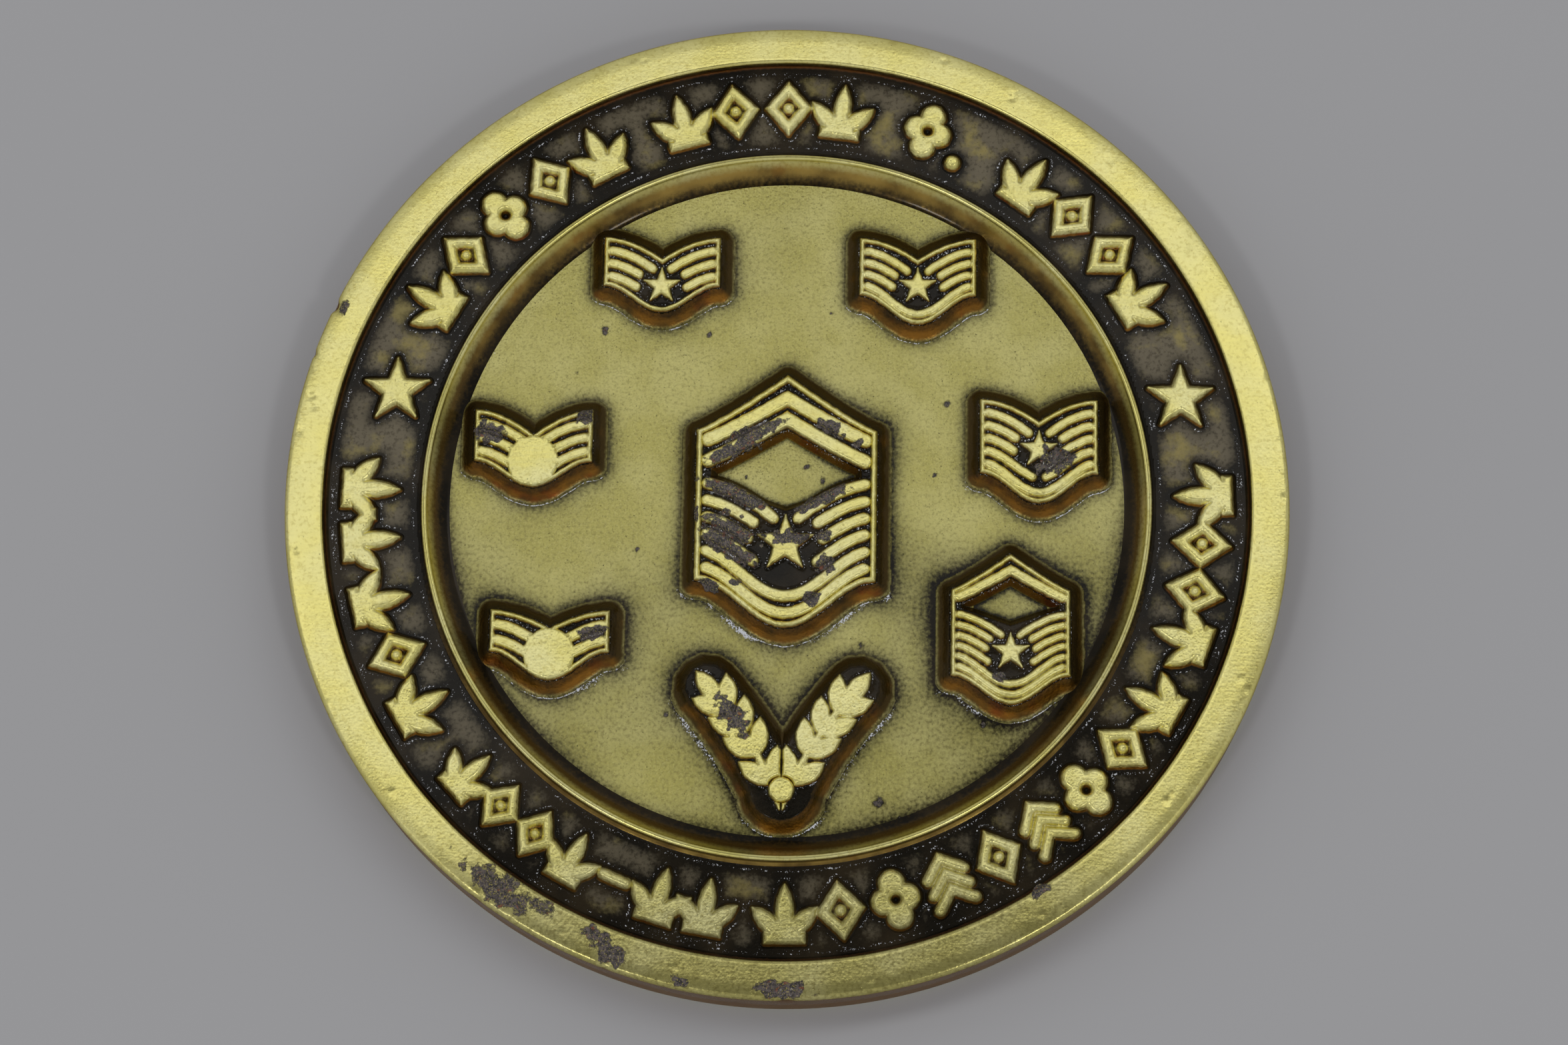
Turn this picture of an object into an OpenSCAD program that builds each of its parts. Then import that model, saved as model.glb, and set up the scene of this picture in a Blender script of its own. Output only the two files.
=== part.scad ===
// Challenge coin: one struck brass disc, drawn as the regions that its dies shape.
// The obverse has a raised rim, a band of ornament with two stars, a border ring,
// and a sunk field with seven striped plates and a laurel spray on low pedestals.
// The reverse has the rim, a circle of beads, a wreath and a star.
// The reverse rim lies on z = 0, the obverse faces +Z and its top points along +Y.

/* [Coin] */
// Outer diameter, 1.75 inches
coin_d = 44.45; // [38:0.05:50]
// Thickness over the two rims
coin_h = 3.2; // [3:0.1:4]
// Width of the raised rim
rim_w = 1.7; // [1.4:0.1:2]
// Radius of the rim's outer corners
edge_round = 0.3; // [0.2:0.05:0.8]
// Radius of the rim's inner corners
lip_round = 0.15; // [0.05:0.05:0.3]

/* [Obverse levels] */
// Depth of the sunk field below the rim
field_depth = 1.1; // [0.9:0.05:1.2]
// Depth of the ornament band below the rim
band_depth = 0.5; // [0.4:0.05:0.6]
// Depth of the border ring's crest below the rim
crest_depth = 0.2; // [0.1:0.05:0.3]
// Height of the ornament and stars above the band
legend_h = 0.34; // [0.2:0.02:0.4]
// Height of each pedestal above the field
pedestal_h = 0.56; // [0.4:0.02:0.6]
// Height of the borders, stripes and devices above their pedestal
plate_h = 0.2; // [0.1:0.02:0.25]
// Thickness of the struck skin on each face
skin_t = 0.15; // [0.1:0.05:0.3]

/* [Border ring] */
// Radius of the ring's crest
ring_r = 16.05; // [15.8:0.05:16.3]
// Width of the ring's flat crest
crest_w = 0.24; // [0.1:0.02:0.4]
// Width of the coved slope down to the field
cove_w = 0.95; // [0.6:0.05:1]
// Width of the slope down to the ornament band
ring_slope_w = 0.34; // [0.2:0.02:0.5]

/* [Ornament band] */
// Radius of the middle of the ornament
legend_r = 18.45; // [18.3:0.05:18.5]
// Height of one ornament motif, along the radius
motif_h = 2.54; // [2:0.02:2.6]
// Width of one ornament motif, along the band
motif_w = 2.06; // [1.6:0.02:2.1]
// Width of the motifs' lines
line_w = 0.42; // [0.3:0.02:0.5]
// Tip radius of the two band stars
band_star_r = 1.5; // [1:0.05:1.6]
// Angle of the band stars above the horizontal
band_star_angle = 15.6; // [15:0.1:16.5]

/* [Plates] */
// Width of the raised line round each small plate
border_w = 0.15; // [0.1:0.01:0.2]
// Width of the raised line round the centre plate
centre_border_w = 0.21; // [0.15:0.01:0.25]
// Share of the stripe spacing that is raised
stripe_share = 0.64; // [0.5:0.02:0.68]
// Spread of each pedestal's drafted foot
draft_w = 0.65; // [0.2:0.05:0.8]
// Number of steps that draw the draft
draft_steps = 5; // [2:1:6]
// Tip radius of the star on the centre plate
centre_star_r = 1.3; // [1:0.05:1.35]
// Tip radius of the star on a small plate
small_star_r = 0.85; // [0.6:0.05:0.9]
// Radius of the plain disc on the two left plates
disc_r = 1.14; // [0.9:0.02:1.15]

/* [Reverse] */
// Depth of the reverse field below the rim
reverse_depth = 0.6; // [0.5:0.05:0.7]
// Height of the wreath, star and beads above the reverse field
reverse_h = 0.36; // [0.2:0.02:0.4]
// Number of beads in the reverse circle
bead_count = 60; // [40:1:66]
// Radius of one bead
bead_r = 0.6; // [0.3:0.05:0.65]
// Radius of the circle of beads
bead_circle_r = 19.2; // [19:0.05:19.5]
// Tip radius of the reverse star
reverse_star_r = 6; // [4:0.1:6.5]
// Radius of the wreath's stems
wreath_r = 12.6; // [12:0.1:13]

/* [Hidden] */

// Everything in plan is drawn for this diameter and scaled to coin_d
DESIGN_D = 44.45;
plan = coin_d / DESIGN_D;
coin_r = coin_d / 2;
rim_in_r = coin_r - rim_w;
field_z = coin_h - field_depth;
band_z = coin_h - band_depth;
crest_z = coin_h - crest_depth;
plate_z = field_z + pedestal_h;
core_top = field_z - skin_t;
core_bottom = reverse_depth + skin_t;
crest_in_r = ring_r * plan - crest_w / 2;
crest_out_r = ring_r * plan + crest_w / 2;
cove_foot_r = crest_in_r - cove_w;
ring_foot_r = crest_out_r + ring_slope_w;
ROUND = 180;
ARC_STEP = 15;

BRASS = [0.78, 0.70, 0.36];
BRASS_DARK = [0.45, 0.40, 0.24];
AMBER = [0.58, 0.40, 0.14];

// Ornament groups: first angle, last angle, number of motifs
UPPER_1 = [27.2, 58.2, 4];
UPPER_2 = [67, 74, 1];
UPPER_3 = [79.2, 109.4, 4];
UPPER_4 = [114.4, 154.4, 5];
LOWER_1 = [175.4, 190, 2];
LOWER_2 = [191.2, 215, 3];
LOWER_3 = [219.6, 244, 4];
LOWER_4 = [250.6, 263.4, 2];
LOWER_5 = [267, 334.6, 9];
LOWER_6 = [337.4, 364.6, 4];
DOT_R = 0.3;
DOT_OFFSET = 1.6;
DASH = [245.6, 249];
// How far the band stars' middles lie inside the middle of the ornament
STAR_SETBACK = 0.3;
// Share of its pitch that a motif may fill, and the splay of the palmette's side leaves
MOTIF_FILL = 0.94;
PALMETTE_SPREAD = 46;

// Shares of a motif's height or width: the palmette's foot, leaves and base bar,
// the quatrefoil's petals and heart, and the chevrons' rise and spacing
PALMETTE_FOOT = 0.42;
PALMETTE_LONG = 0.92;
PALMETTE_SHORT = 0.76;
PALMETTE_BASE = 0.84;
PALMETTE_LEAF = 1.75;
PETAL = 0.26;
HEART = [0.4, 0.44];
EYE = 0.6;
V_RISE = 0.28;
V_PITCH = 0.27;

// Inner radius of a star over its tip radius
STAR_INNER = 0.42;

// Shape of the stripes' curves: how hard they fall to the middle, and the chevrons' sag
WING_POWER = 1.8;
CHEVRON_POWER = 1.14;
CURVE_STEPS = 10;
// How much more each stripe sweeps round the belly than the one above it, and the most it may
SWEEP_STEP = 0.2;
SWEEP_MAX = 0.6;
// Where a stripe may start beside the middle, and how finely its start is found
STRIPE_START = 0.12;
START_STEP = 0.02;
// Space left round the stars, and the share of the disc's radius that stripes may run under
SMALL_CLEAR = 0.07;
CENTRE_CLEAR = 0.08;
DISC_CLEAR = 0.6;
// Share of the clear circle that the first stripes keep to, beside the star's narrow tip
FIRST_CLEAR = 0.72;
// Power that makes a pedestal's draft hollow towards its foot
DRAFT_POWER = 1.6;

// A plate: middle x, shoulder y, half width, side height, notch, belly, peak
CENTRE = [0, 3.2, 3.98, 6.84, 0, 2.11, 2.55];
UPPER_LEFT = [-5.76, 12.2, 2.58, 2.24, 1.02, 1.2, 0];
UPPER_RIGHT = [5.76, 12.25, 2.58, 2.62, 1, 1.36, 0];
MIDDLE_RIGHT = [11.2, 4.74, 2.58, 3.34, 1.03, 1.36, 0];
LOWER_RIGHT = [9.95, -4, 2.58, 3.8, 0, 1.28, 1.62];
LOWER_LEFT = [-10.3, -5.15, 2.6, 1.8, 0.82, 1.28, 0];
MIDDLE_LEFT = [-11.3, 4.02, 2.6, 2.3, 1.16, 1.18, 0];

// Stripes of a plate: first level below the shoulder, last level above the corner,
// number that stop beside the device, number that run right round under it
CENTRE_ROWS = [2.4, 0.62, 4, 2];
UPPER_LEFT_ROWS = [0.58, 0.46, 3, 0];
UPPER_RIGHT_ROWS = [0.56, 0.44, 3, 1];
MIDDLE_RIGHT_ROWS = [0.56, 0.44, 4, 1];
LOWER_RIGHT_ROWS = [1.06, 0.42, 4, 2];
LOWER_LEFT_ROWS = [0.6, 0.5, 2, 0];
MIDDLE_LEFT_ROWS = [0.56, 0.46, 3, 0];
DISC_LIFT = 1.16;
CENTRE_STAR_Y = -1.96;
UPPER_LEFT_STAR_Y = 9.94;
UPPER_RIGHT_STAR_Y = 10.04;
MIDDLE_RIGHT_STAR_Y = 2.48;
LOWER_RIGHT_STAR_Y = -6.74;

// Chevrons: level below the shoulder, stroke width
CENTRE_CHEVRONS = [[0.62, 0.6], [1.58, 0.6]];
LOWER_RIGHT_CHEVRONS = [[0.42, 0.4]];
CHEVRON_RISE = 0.84;
CHEVRON_REACH = 0.88;
// Openings between the lowest chevron and the first stripes: share of the plate's width,
// how far below the shoulder the lower corner lies, and how the edge rises from that corner
OPENING_REACH = 0.84;
CENTRE_OPENING_LOW = 3.66;
LOWER_RIGHT_OPENING_LOW = 1.56;
OPENING_SLOPE = 0.35;
// Share of a line's width between its middle and the opening's edge
OPENING_EDGE = 0.62;
STRIPE_REACH = 0.88;

// Laurel: branches of the obverse spray, from the knot to the tip
SPRAY_FOOT = [0, -13.75];
SPRAY_BEND = [0.9, -11.3];
SPRAY_TIP = [2.9, -8.9];
SPRAY_KNOT = [0, -13];
SPRAY_LEAVES = 4;
SPRAY_LEAF = [1.75, 0.82];
SPRAY_PLINTH_W = 1.9;
SPRAY_DRAFT = 0.7;
SPRAY_KNOT_R = 0.54;
SPRAY_KNOT_HOLE_R = 0.62;
SPRAY_BOSS_R = 1.3;
SPRAY_HALF_GAP = 0.06;
WREATH_LEAVES = 11;
WREATH_LEAF = [3.4, 1.25];
WREATH_ARC = [-80, 72];
WREATH_STEM = 1.4;
WREATH_HALF_GAP = 0.15;
WREATH_KNOT_R = 1.35;
WREATH_KNOT_HOLE_R = 1.5;
LEAF_ANGLE = 32;
LEAF_STEPS = 8;
LEAF_POWER = 0.8;
// Bare length at a branch's tip, in leaf spacings
TIP_SHARE = 0.6;
STEM_W = 0.3;
STEM_STEPS = 20;
WREATH_STEPS = 44;
// Facets of the small round shapes, and how far cuts run past what they cut
DOT_FACETS = 32;
KNOT_FACETS = 48;
DISC_FACETS = 64;
CORNER_FACETS = 24;
CUT = 1;

// ---- plan geometry ----

function mid(a, b, t) = a + (b - a) * t;
function unit(v) = v / norm(v);
function left_of(v) = [-v[1], v[0]];
function on_circle(r, a) = [r * cos(a), r * sin(a)];
function reversed(p) = [for (i = [len(p) - 1:-1:0]) p[i]];
function heading(p, i) = unit(p[min(i + 1, len(p) - 1)] - p[max(i - 1, 0)]);
function ahead(p, i) = unit(p[min(i + 1, len(p) - 1)] - p[min(i, len(p) - 2)]);
function miter(p, i) = left_of(heading(p, i)) / (heading(p, i) * ahead(p, i));
function beside(p, w) = [for (i = [0:len(p) - 1]) p[i] + miter(p, i) * w];
function end_cap(c, d, w) = [for (a = [60:-30:-60]) c + w * (cos(a) * d + sin(a) * left_of(d))];

// Closed outline of a line of width w along path p, with round ends
function stroke(p, w) = concat(
  beside(p, w / 2),
  end_cap(p[len(p) - 1], heading(p, len(p) - 1), w / 2),
  reversed(beside(p, -w / 2)),
  end_cap(p[0], -heading(p, 0), w / 2)
);

function star_points(r) = [
  for (i = [0:9]) on_circle(i % 2 == 0 ? r : r * STAR_INNER, 90 + i * 36)
];

function leaf_side(size, t) = [size[0] * t, size[1] / 2 * pow(sin(180 * t), LEAF_POWER)];
function flipped(v) = [v[0], -v[1]];
function leaf_points(size) = concat(
  [for (i = [0:LEAF_STEPS]) leaf_side(size, i / LEAF_STEPS)],
  [for (i = [LEAF_STEPS - 1:-1:1]) flipped(leaf_side(size, i / LEAF_STEPS))]
);

function bezier(a, b, c, t) = mid(mid(a, b, t), mid(b, c, t), t);

// Fall of a stripe below its outer end: u = 0 drops to a notch, u = 1 sweeps round a belly
function fall(t, u) = (1 - u) * pow(1 - t, WING_POWER) + u * (1 + cos(180 * t)) / 2;
function peak(t) = pow(1 - t, CHEVRON_POWER);

function plate_top(p, s) =
  [p[2] * s, p[6] > 0 ? p[6] * peak(abs(s)) : -p[4] * fall(abs(s), 0)];
function plate_bottom(p, s) = [p[2] * s, -p[3] - p[5] * fall(abs(s), 1)];
function plate_points(p) = [
  for (k = [-CURVE_STEPS:CURVE_STEPS]) plate_top(p, k / CURVE_STEPS),
  for (k = [CURVE_STEPS:-1:-CURVE_STEPS]) plate_bottom(p, k / CURVE_STEPS)
];

// Where a stripe stops: the first place outside the device's clear circle
function inner_t(p, level, u, c, clear, t) =
  norm([p[2] * t, level - p[5] * fall(t, u)] - [0, c]) > clear
    ? t
    : inner_t(p, level, u, c, clear, t + START_STEP);

function row_level(p, rows, i) =
  -mid(rows[0], p[3] - rows[1], i / (rows[2] + rows[3] - 1));
function row_pitch(p, rows) = (p[3] - rows[1] - rows[0]) / (rows[2] + rows[3] - 1);

module star(r) {
  polygon(star_points(r));
}

module leaf(size) {
  polygon(leaf_points(size));
}

module at(p) {
  translate(p) children();
}

module plate_shape(p) {
  at([p[0], p[1]]) polygon(plate_points(p));
}

module plate_border(p, w) {
  difference() {
    plate_shape(p);
    offset(delta = -w) plate_shape(p);
  }
}

// One pair of stripes beside the device, or one stripe that runs right round under it
module stripe_row(p, rows, i, c, clear) {
  level = row_level(p, rows, i);
  w = row_pitch(p, rows) * stripe_share;
  if (i < rows[2]) {
    u = min(SWEEP_MAX, SWEEP_STEP * i);
    share = i == 0 ? FIRST_CLEAR : 1;
    t0 = inner_t(p, level, u, c, clear * share + w / 2, STRIPE_START);
    path = [
      for (k = [0:CURVE_STEPS])
        let (t = mid(t0, STRIPE_REACH, k / CURVE_STEPS)) [p[2] * t, level - p[5] * fall(t, u)]
    ];
    polygon(stroke(path, w));
    mirror([1, 0]) polygon(stroke(path, w));
  } else {
    path = [
      for (k = [-CURVE_STEPS:CURVE_STEPS])
        let (s = STRIPE_REACH * k / CURVE_STEPS) [p[2] * s, level - p[5] * fall(abs(s), 1)]
    ];
    polygon(stroke(path, w));
  }
}

module stripes(p, rows, c, clear) {
  at([p[0], p[1]])
    for (i = [0:rows[2] + rows[3] - 1])
      stripe_row(p, rows, i, c - p[1], clear);
}

module chevrons(p, list) {
  at([p[0], p[1]])
    for (v = list)
      polygon(stroke([
        for (k = [-CURVE_STEPS:CURVE_STEPS])
          let (s = CHEVRON_REACH * k / CURVE_STEPS)
            [p[2] * s, -v[0] + CHEVRON_RISE * p[6] * peak(abs(s))]
      ], v[1]));
}

// Four-cornered opening through a peaked plate, between its lowest chevron and first stripes
function opening_top(p, v, t) = -v[0] - v[1] * OPENING_EDGE + CHEVRON_RISE * p[6] * peak(t);
function opening_low(p, rows, low, t) =
  max(OPENING_SLOPE * p[2] * t - low,
      -rows[0] + row_pitch(p, rows) * stripe_share * OPENING_EDGE - p[5] * fall(t, 0));

module opening(p, v, rows, low) {
  at([p[0], p[1]])
    polygon([
      for (k = [-CURVE_STEPS:CURVE_STEPS])
        let (s = OPENING_REACH * k / CURVE_STEPS) [p[2] * s, opening_top(p, v, abs(s))],
      for (k = [CURVE_STEPS:-1:-CURVE_STEPS])
        let (s = OPENING_REACH * k / CURVE_STEPS) [p[2] * s, opening_low(p, rows, low, abs(s))]
    ]);
}

module disc_on(p) {
  at([p[0], p[1] - p[3] - p[5] + DISC_LIFT]) circle(r = disc_r, $fn = DISC_FACETS);
}

// ---- ornament motifs, drawn upright round their own middle ----

module lozenge(w, h) {
  polygon([[w / 2, 0], [0, h / 2], [-w / 2, 0], [0, -h / 2]]);
}

module lozenge_motif() {
  difference() {
    lozenge(motif_w, motif_h);
    offset(delta = -line_w) lozenge(motif_w, motif_h);
  }
  circle(r = line_w / 2, $fn = DOT_FACETS);
}

module palmette_motif() {
  for (a = [-PALMETTE_SPREAD, 0, PALMETTE_SPREAD])
    translate([0, -motif_h * PALMETTE_FOOT])
      rotate(90 + a)
        leaf([motif_h * (a == 0 ? PALMETTE_LONG : PALMETTE_SHORT), line_w * PALMETTE_LEAF]);
  translate([0, (line_w - motif_h) / 2]) 
    square([motif_w * PALMETTE_BASE, line_w], center = true);
}

module quatrefoil_motif() {
  petal_r = motif_w * PETAL;
  difference() {
    union() {
      for (a = [0:90:270])
        translate(on_circle((a % 180 == 0 ? motif_w : motif_h) / 2 - petal_r, a))
          circle(r = petal_r, $fn = KNOT_FACETS);
      square([motif_w * HEART[0], motif_h * HEART[1]], center = true);
    }
    circle(r = line_w * EYE, $fn = DOT_FACETS);
  }
}

module chevron_motif() {
  reach = motif_w / 2 - line_w / 2;
  rise = motif_h * V_RISE;
  for (level = [-1:1])
    translate([0, level * motif_h * V_PITCH - rise / 2])
      polygon(stroke([[-reach, 0], [0, rise], [reach, 0]], line_w));
}

module motif(kind) {
  if (kind == 0) palmette_motif();
  if (kind == 1) lozenge_motif();
  if (kind == 2) quatrefoil_motif();
  if (kind == 3) chevron_motif();
}

// A group reads the same from both ends; on the lower arc the motifs' tops point inwards
module ornament_group(g, inward) {
  n = g[2];
  pitch = (g[1] - g[0]) / n;
  fit = min(1, MOTIF_FILL * pitch * legend_r * PI / 180 / motif_w);
  for (i = [0:n - 1])
    rotate(g[0] + pitch * (i + 0.5) - 90)
      translate([0, legend_r]) rotate(inward ? 180 : 0) scale([fit, fit]) {
        step = min(i, n - 1 - i);
        motif(n == 1 ? 2 : step == 4 ? 1 : step);
      }
}

// ---- solids ----

module relief(z, h) {
  translate([0, 0, z]) linear_extrude(height = h) scale([plan, plan]) children();
}

module disc(r, z, h) {
  translate([0, 0, z]) cylinder(r = r, h = h, $fn = ROUND);
}

// Stacked outlines that widen towards the foot, as the draft of a struck pedestal does
module drafted(z, h, spread) {
  for (i = [0:draft_steps - 1])
    relief(z + h * i / draft_steps, h / draft_steps)
      offset(r = spread * pow(1 - i / draft_steps, DRAFT_POWER), $fn = CORNER_FACETS)
        children();
}

module planchet() {
  color(BRASS_DARK) disc(rim_in_r, core_bottom, core_top - core_bottom);
}

module obverse_field() {
  color(BRASS) disc(cove_foot_r, core_top, skin_t);
}

module ring_band(inner, outer, z, h) {
  difference() {
    disc(outer, z, h);
    disc(inner, z - h, 3 * h);
  }
}

module ornament_band() {
  color(BRASS_DARK) ring_band(ring_foot_r, rim_in_r, core_top, band_z - core_top);
}

function corner(r, c, from) = [
  for (a = [from:ARC_STEP:from + 90]) c + on_circle(r, a)
];

module rim() {
  e = edge_round;
  l = lip_round;
  color(BRASS)
    rotate_extrude($fn = ROUND)
      polygon(concat(
        corner(e, [coin_r - e, e], 270),
        corner(e, [coin_r - e, coin_h - e], 0),
        corner(l, [rim_in_r + l, coin_h - l], 90),
        corner(l, [rim_in_r + l, l], 180)
      ));
}

module border_ring() {
  cove_h = crest_z - field_z;
  cove = [
    for (a = [0:ARC_STEP:90])
      [cove_foot_r + cove_w * sin(a), field_z + cove_h * (1 - cos(a))]
  ];
  color(BRASS)
    rotate_extrude($fn = ROUND)
      polygon(concat(
        [[cove_foot_r, core_top]],
        cove,
        [[crest_out_r, crest_z], [ring_foot_r, band_z], [ring_foot_r, core_top]]
      ));
}

module band_star(side) {
  place = on_circle(legend_r - STAR_SETBACK, band_star_angle);
  color(BRASS) relief(band_z, legend_h) at([side * place[0], place[1]]) star(band_star_r);
}

module ornament(g, inward) {
  color(BRASS) relief(band_z, legend_h) ornament_group(g, inward);
}

module ornament_upper_2() {
  color(BRASS) relief(band_z, legend_h) {
    ornament_group(UPPER_2, false);
    at(on_circle(legend_r - motif_h / 2 + DOT_R, UPPER_2[0] - DOT_OFFSET))
      circle(r = DOT_R, $fn = DOT_FACETS);
  }
}

module ornament_dash() {
  path = [for (i = [0:4]) on_circle(legend_r, mid(DASH[0], DASH[1], i / 4))];
  color(BRASS) relief(band_z, legend_h) polygon(stroke(path, line_w));
}

module pedestal(p) {
  color(AMBER) drafted(field_z, pedestal_h, draft_w) plate_shape(p);
}

module opened_pedestal(p, v, rows, low) {
  color(AMBER)
    difference() {
      drafted(field_z, pedestal_h, draft_w) plate_shape(p);
      relief(field_z - CUT, pedestal_h + 2 * CUT) opening(p, v, rows, low);
    }
}

module raised() {
  color(BRASS) relief(plate_z, plate_h) children();
}

module striped_plate(p, rows, star_y) {
  raised() {
    plate_border(p, border_w);
    stripes(p, rows, star_y, small_star_r + SMALL_CLEAR);
  }
}

module disc_plate(p, rows) {
  raised()
    difference() {
      union() {
        plate_border(p, border_w);
        stripes(p, rows, p[1] - p[3] - p[5] + DISC_LIFT, disc_r * DISC_CLEAR);
      }
      disc_on(p);
    }
}

module centre_pedestal() {
  opened_pedestal(CENTRE, CENTRE_CHEVRONS[1], CENTRE_ROWS, CENTRE_OPENING_LOW);
}

module centre_border() {
  raised() plate_border(CENTRE, centre_border_w);
}

module centre_chevrons() {
  raised() chevrons(CENTRE, CENTRE_CHEVRONS);
}

module centre_stripes() {
  raised() stripes(CENTRE, CENTRE_ROWS, CENTRE_STAR_Y, centre_star_r + CENTRE_CLEAR);
}

module star_at(x, y, r) {
  raised() at([x, y]) star(r);
}

module lower_right_pedestal() {
  opened_pedestal(LOWER_RIGHT, LOWER_RIGHT_CHEVRONS[0], LOWER_RIGHT_ROWS, LOWER_RIGHT_OPENING_LOW);
}

module lower_right_stripes() {
  raised() {
    plate_border(LOWER_RIGHT, border_w);
    chevrons(LOWER_RIGHT, LOWER_RIGHT_CHEVRONS);
    stripes(LOWER_RIGHT, LOWER_RIGHT_ROWS, LOWER_RIGHT_STAR_Y, small_star_r + SMALL_CLEAR);
  }
}

// ---- laurel ----

function spray_stem(t) = bezier(SPRAY_FOOT, SPRAY_BEND, SPRAY_TIP, t);
function angle_of(v) = atan2(v[1], v[0]);

// Everything left of x = gap, which keeps a branch to its own side
module left_half(gap) {
  translate([-DESIGN_D, -DESIGN_D]) square([DESIGN_D + gap, 2 * DESIGN_D]);
}

// Leaves in pairs along a stem, with one more at its tip
module leaves_along(points, count, size) {
  n = len(points) - 1;
  for (i = [1:count]) {
    k = round(n * i / (count + TIP_SHARE));
    a = angle_of(heading(points, k));
    for (side = [-1, 1])
      at(points[k]) rotate(a + side * LEAF_ANGLE) leaf(size);
  }
  at(points[n - 1]) rotate(angle_of(heading(points, n))) leaf(size);
}

module spray_branch(side) {
  stem = [for (i = [0:STEM_STEPS]) spray_stem(i / STEM_STEPS)];
  raised()
    mirror([side < 0 ? 1 : 0, 0])
      difference() {
        union() {
          polygon(stroke(stem, STEM_W));
          leaves_along(stem, SPRAY_LEAVES, SPRAY_LEAF);
        }
        left_half(SPRAY_HALF_GAP);
        at(SPRAY_KNOT) circle(r = SPRAY_KNOT_HOLE_R, $fn = KNOT_FACETS);
      }
}

module spray_plinth_shape() {
  stem = [for (i = [2:STEM_STEPS + 2]) spray_stem(i / STEM_STEPS)];
  polygon(stroke(stem, SPRAY_PLINTH_W));
  mirror([1, 0]) polygon(stroke(stem, SPRAY_PLINTH_W));
  at(SPRAY_KNOT) circle(r = SPRAY_BOSS_R, $fn = KNOT_FACETS);
}

module spray_pedestal() {
  color(AMBER) drafted(field_z, pedestal_h, draft_w * SPRAY_DRAFT) spray_plinth_shape();
}

module spray_knot() {
  raised() at(SPRAY_KNOT) circle(r = SPRAY_KNOT_R, $fn = KNOT_FACETS);
}

// ---- reverse ----

module reverse_relief() {
  color(BRASS) relief(reverse_depth - reverse_h, reverse_h) children();
}

module reverse_field() {
  color(BRASS) disc(rim_in_r, reverse_depth, skin_t);
}

module reverse_beads() {
  reverse_relief()
    for (i = [0:bead_count - 1])
      at(on_circle(bead_circle_r, 360 * i / bead_count)) circle(r = bead_r, $fn = DOT_FACETS);
}

module wreath_branch() {
  stem = [
    for (i = [0:WREATH_STEPS])
      on_circle(wreath_r, mid(WREATH_ARC[0], WREATH_ARC[1], i / WREATH_STEPS))
  ];
  difference() {
    union() {
      polygon(stroke(stem, STEM_W * WREATH_STEM));
      leaves_along(stem, WREATH_LEAVES, WREATH_LEAF);
    }
    left_half(WREATH_HALF_GAP);
  }
}

module reverse_wreath() {
  reverse_relief()
    difference() {
      union() {
        wreath_branch();
        mirror([1, 0]) wreath_branch();
      }
      at([0, -wreath_r]) circle(r = WREATH_KNOT_HOLE_R, $fn = KNOT_FACETS);
    }
}

module reverse_star() {
  reverse_relief() star(reverse_star_r);
}

module reverse_knot() {
  reverse_relief() at([0, -wreath_r]) circle(r = WREATH_KNOT_R, $fn = KNOT_FACETS);
}

planchet();
rim();
ornament_band();
border_ring();
obverse_field();
band_star(-1);  // band_star_left
band_star(1);  // band_star_right
ornament(UPPER_1, false);  // ornament_upper_1
ornament_upper_2();
ornament(UPPER_3, false);  // ornament_upper_3
ornament(UPPER_4, false);  // ornament_upper_4
ornament(LOWER_1, true);  // ornament_lower_1
ornament(LOWER_2, true);  // ornament_lower_2
ornament(LOWER_3, true);  // ornament_lower_3
ornament(LOWER_4, true);  // ornament_lower_4
ornament(LOWER_5, true);  // ornament_lower_5
ornament(LOWER_6, true);  // ornament_lower_6
ornament_dash();
centre_pedestal();
centre_border();
centre_chevrons();
centre_stripes();
star_at(CENTRE[0], CENTRE_STAR_Y, centre_star_r);  // centre_star
pedestal(UPPER_LEFT);  // upper_left_pedestal
striped_plate(UPPER_LEFT, UPPER_LEFT_ROWS, UPPER_LEFT_STAR_Y);  // upper_left_stripes
star_at(UPPER_LEFT[0], UPPER_LEFT_STAR_Y, small_star_r);  // upper_left_star
pedestal(UPPER_RIGHT);  // upper_right_pedestal
striped_plate(UPPER_RIGHT, UPPER_RIGHT_ROWS, UPPER_RIGHT_STAR_Y);  // upper_right_stripes
star_at(UPPER_RIGHT[0], UPPER_RIGHT_STAR_Y, small_star_r);  // upper_right_star
pedestal(MIDDLE_RIGHT);  // middle_right_pedestal
striped_plate(MIDDLE_RIGHT, MIDDLE_RIGHT_ROWS, MIDDLE_RIGHT_STAR_Y);  // middle_right_stripes
star_at(MIDDLE_RIGHT[0], MIDDLE_RIGHT_STAR_Y, small_star_r);  // middle_right_star
lower_right_pedestal();
lower_right_stripes();
star_at(LOWER_RIGHT[0], LOWER_RIGHT_STAR_Y, small_star_r);  // lower_right_star
pedestal(LOWER_LEFT);  // lower_left_pedestal
disc_plate(LOWER_LEFT, LOWER_LEFT_ROWS);  // lower_left_stripes
raised() disc_on(LOWER_LEFT);  // lower_left_disc
pedestal(MIDDLE_LEFT);  // middle_left_pedestal
disc_plate(MIDDLE_LEFT, MIDDLE_LEFT_ROWS);  // middle_left_stripes
raised() disc_on(MIDDLE_LEFT);  // middle_left_disc
spray_pedestal();
spray_branch(-1);  // spray_left_branch
spray_branch(1);  // spray_right_branch
spray_knot();
reverse_field();
reverse_beads();
reverse_wreath();
reverse_star();
reverse_knot();
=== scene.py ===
"""Looks for the challenge coin: each CAD region is struck again as a drafted relief in antiqued brass."""

import itertools
import math

import bmesh
import bpy
import numpy as np
from mathutils import Matrix, Vector


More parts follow.
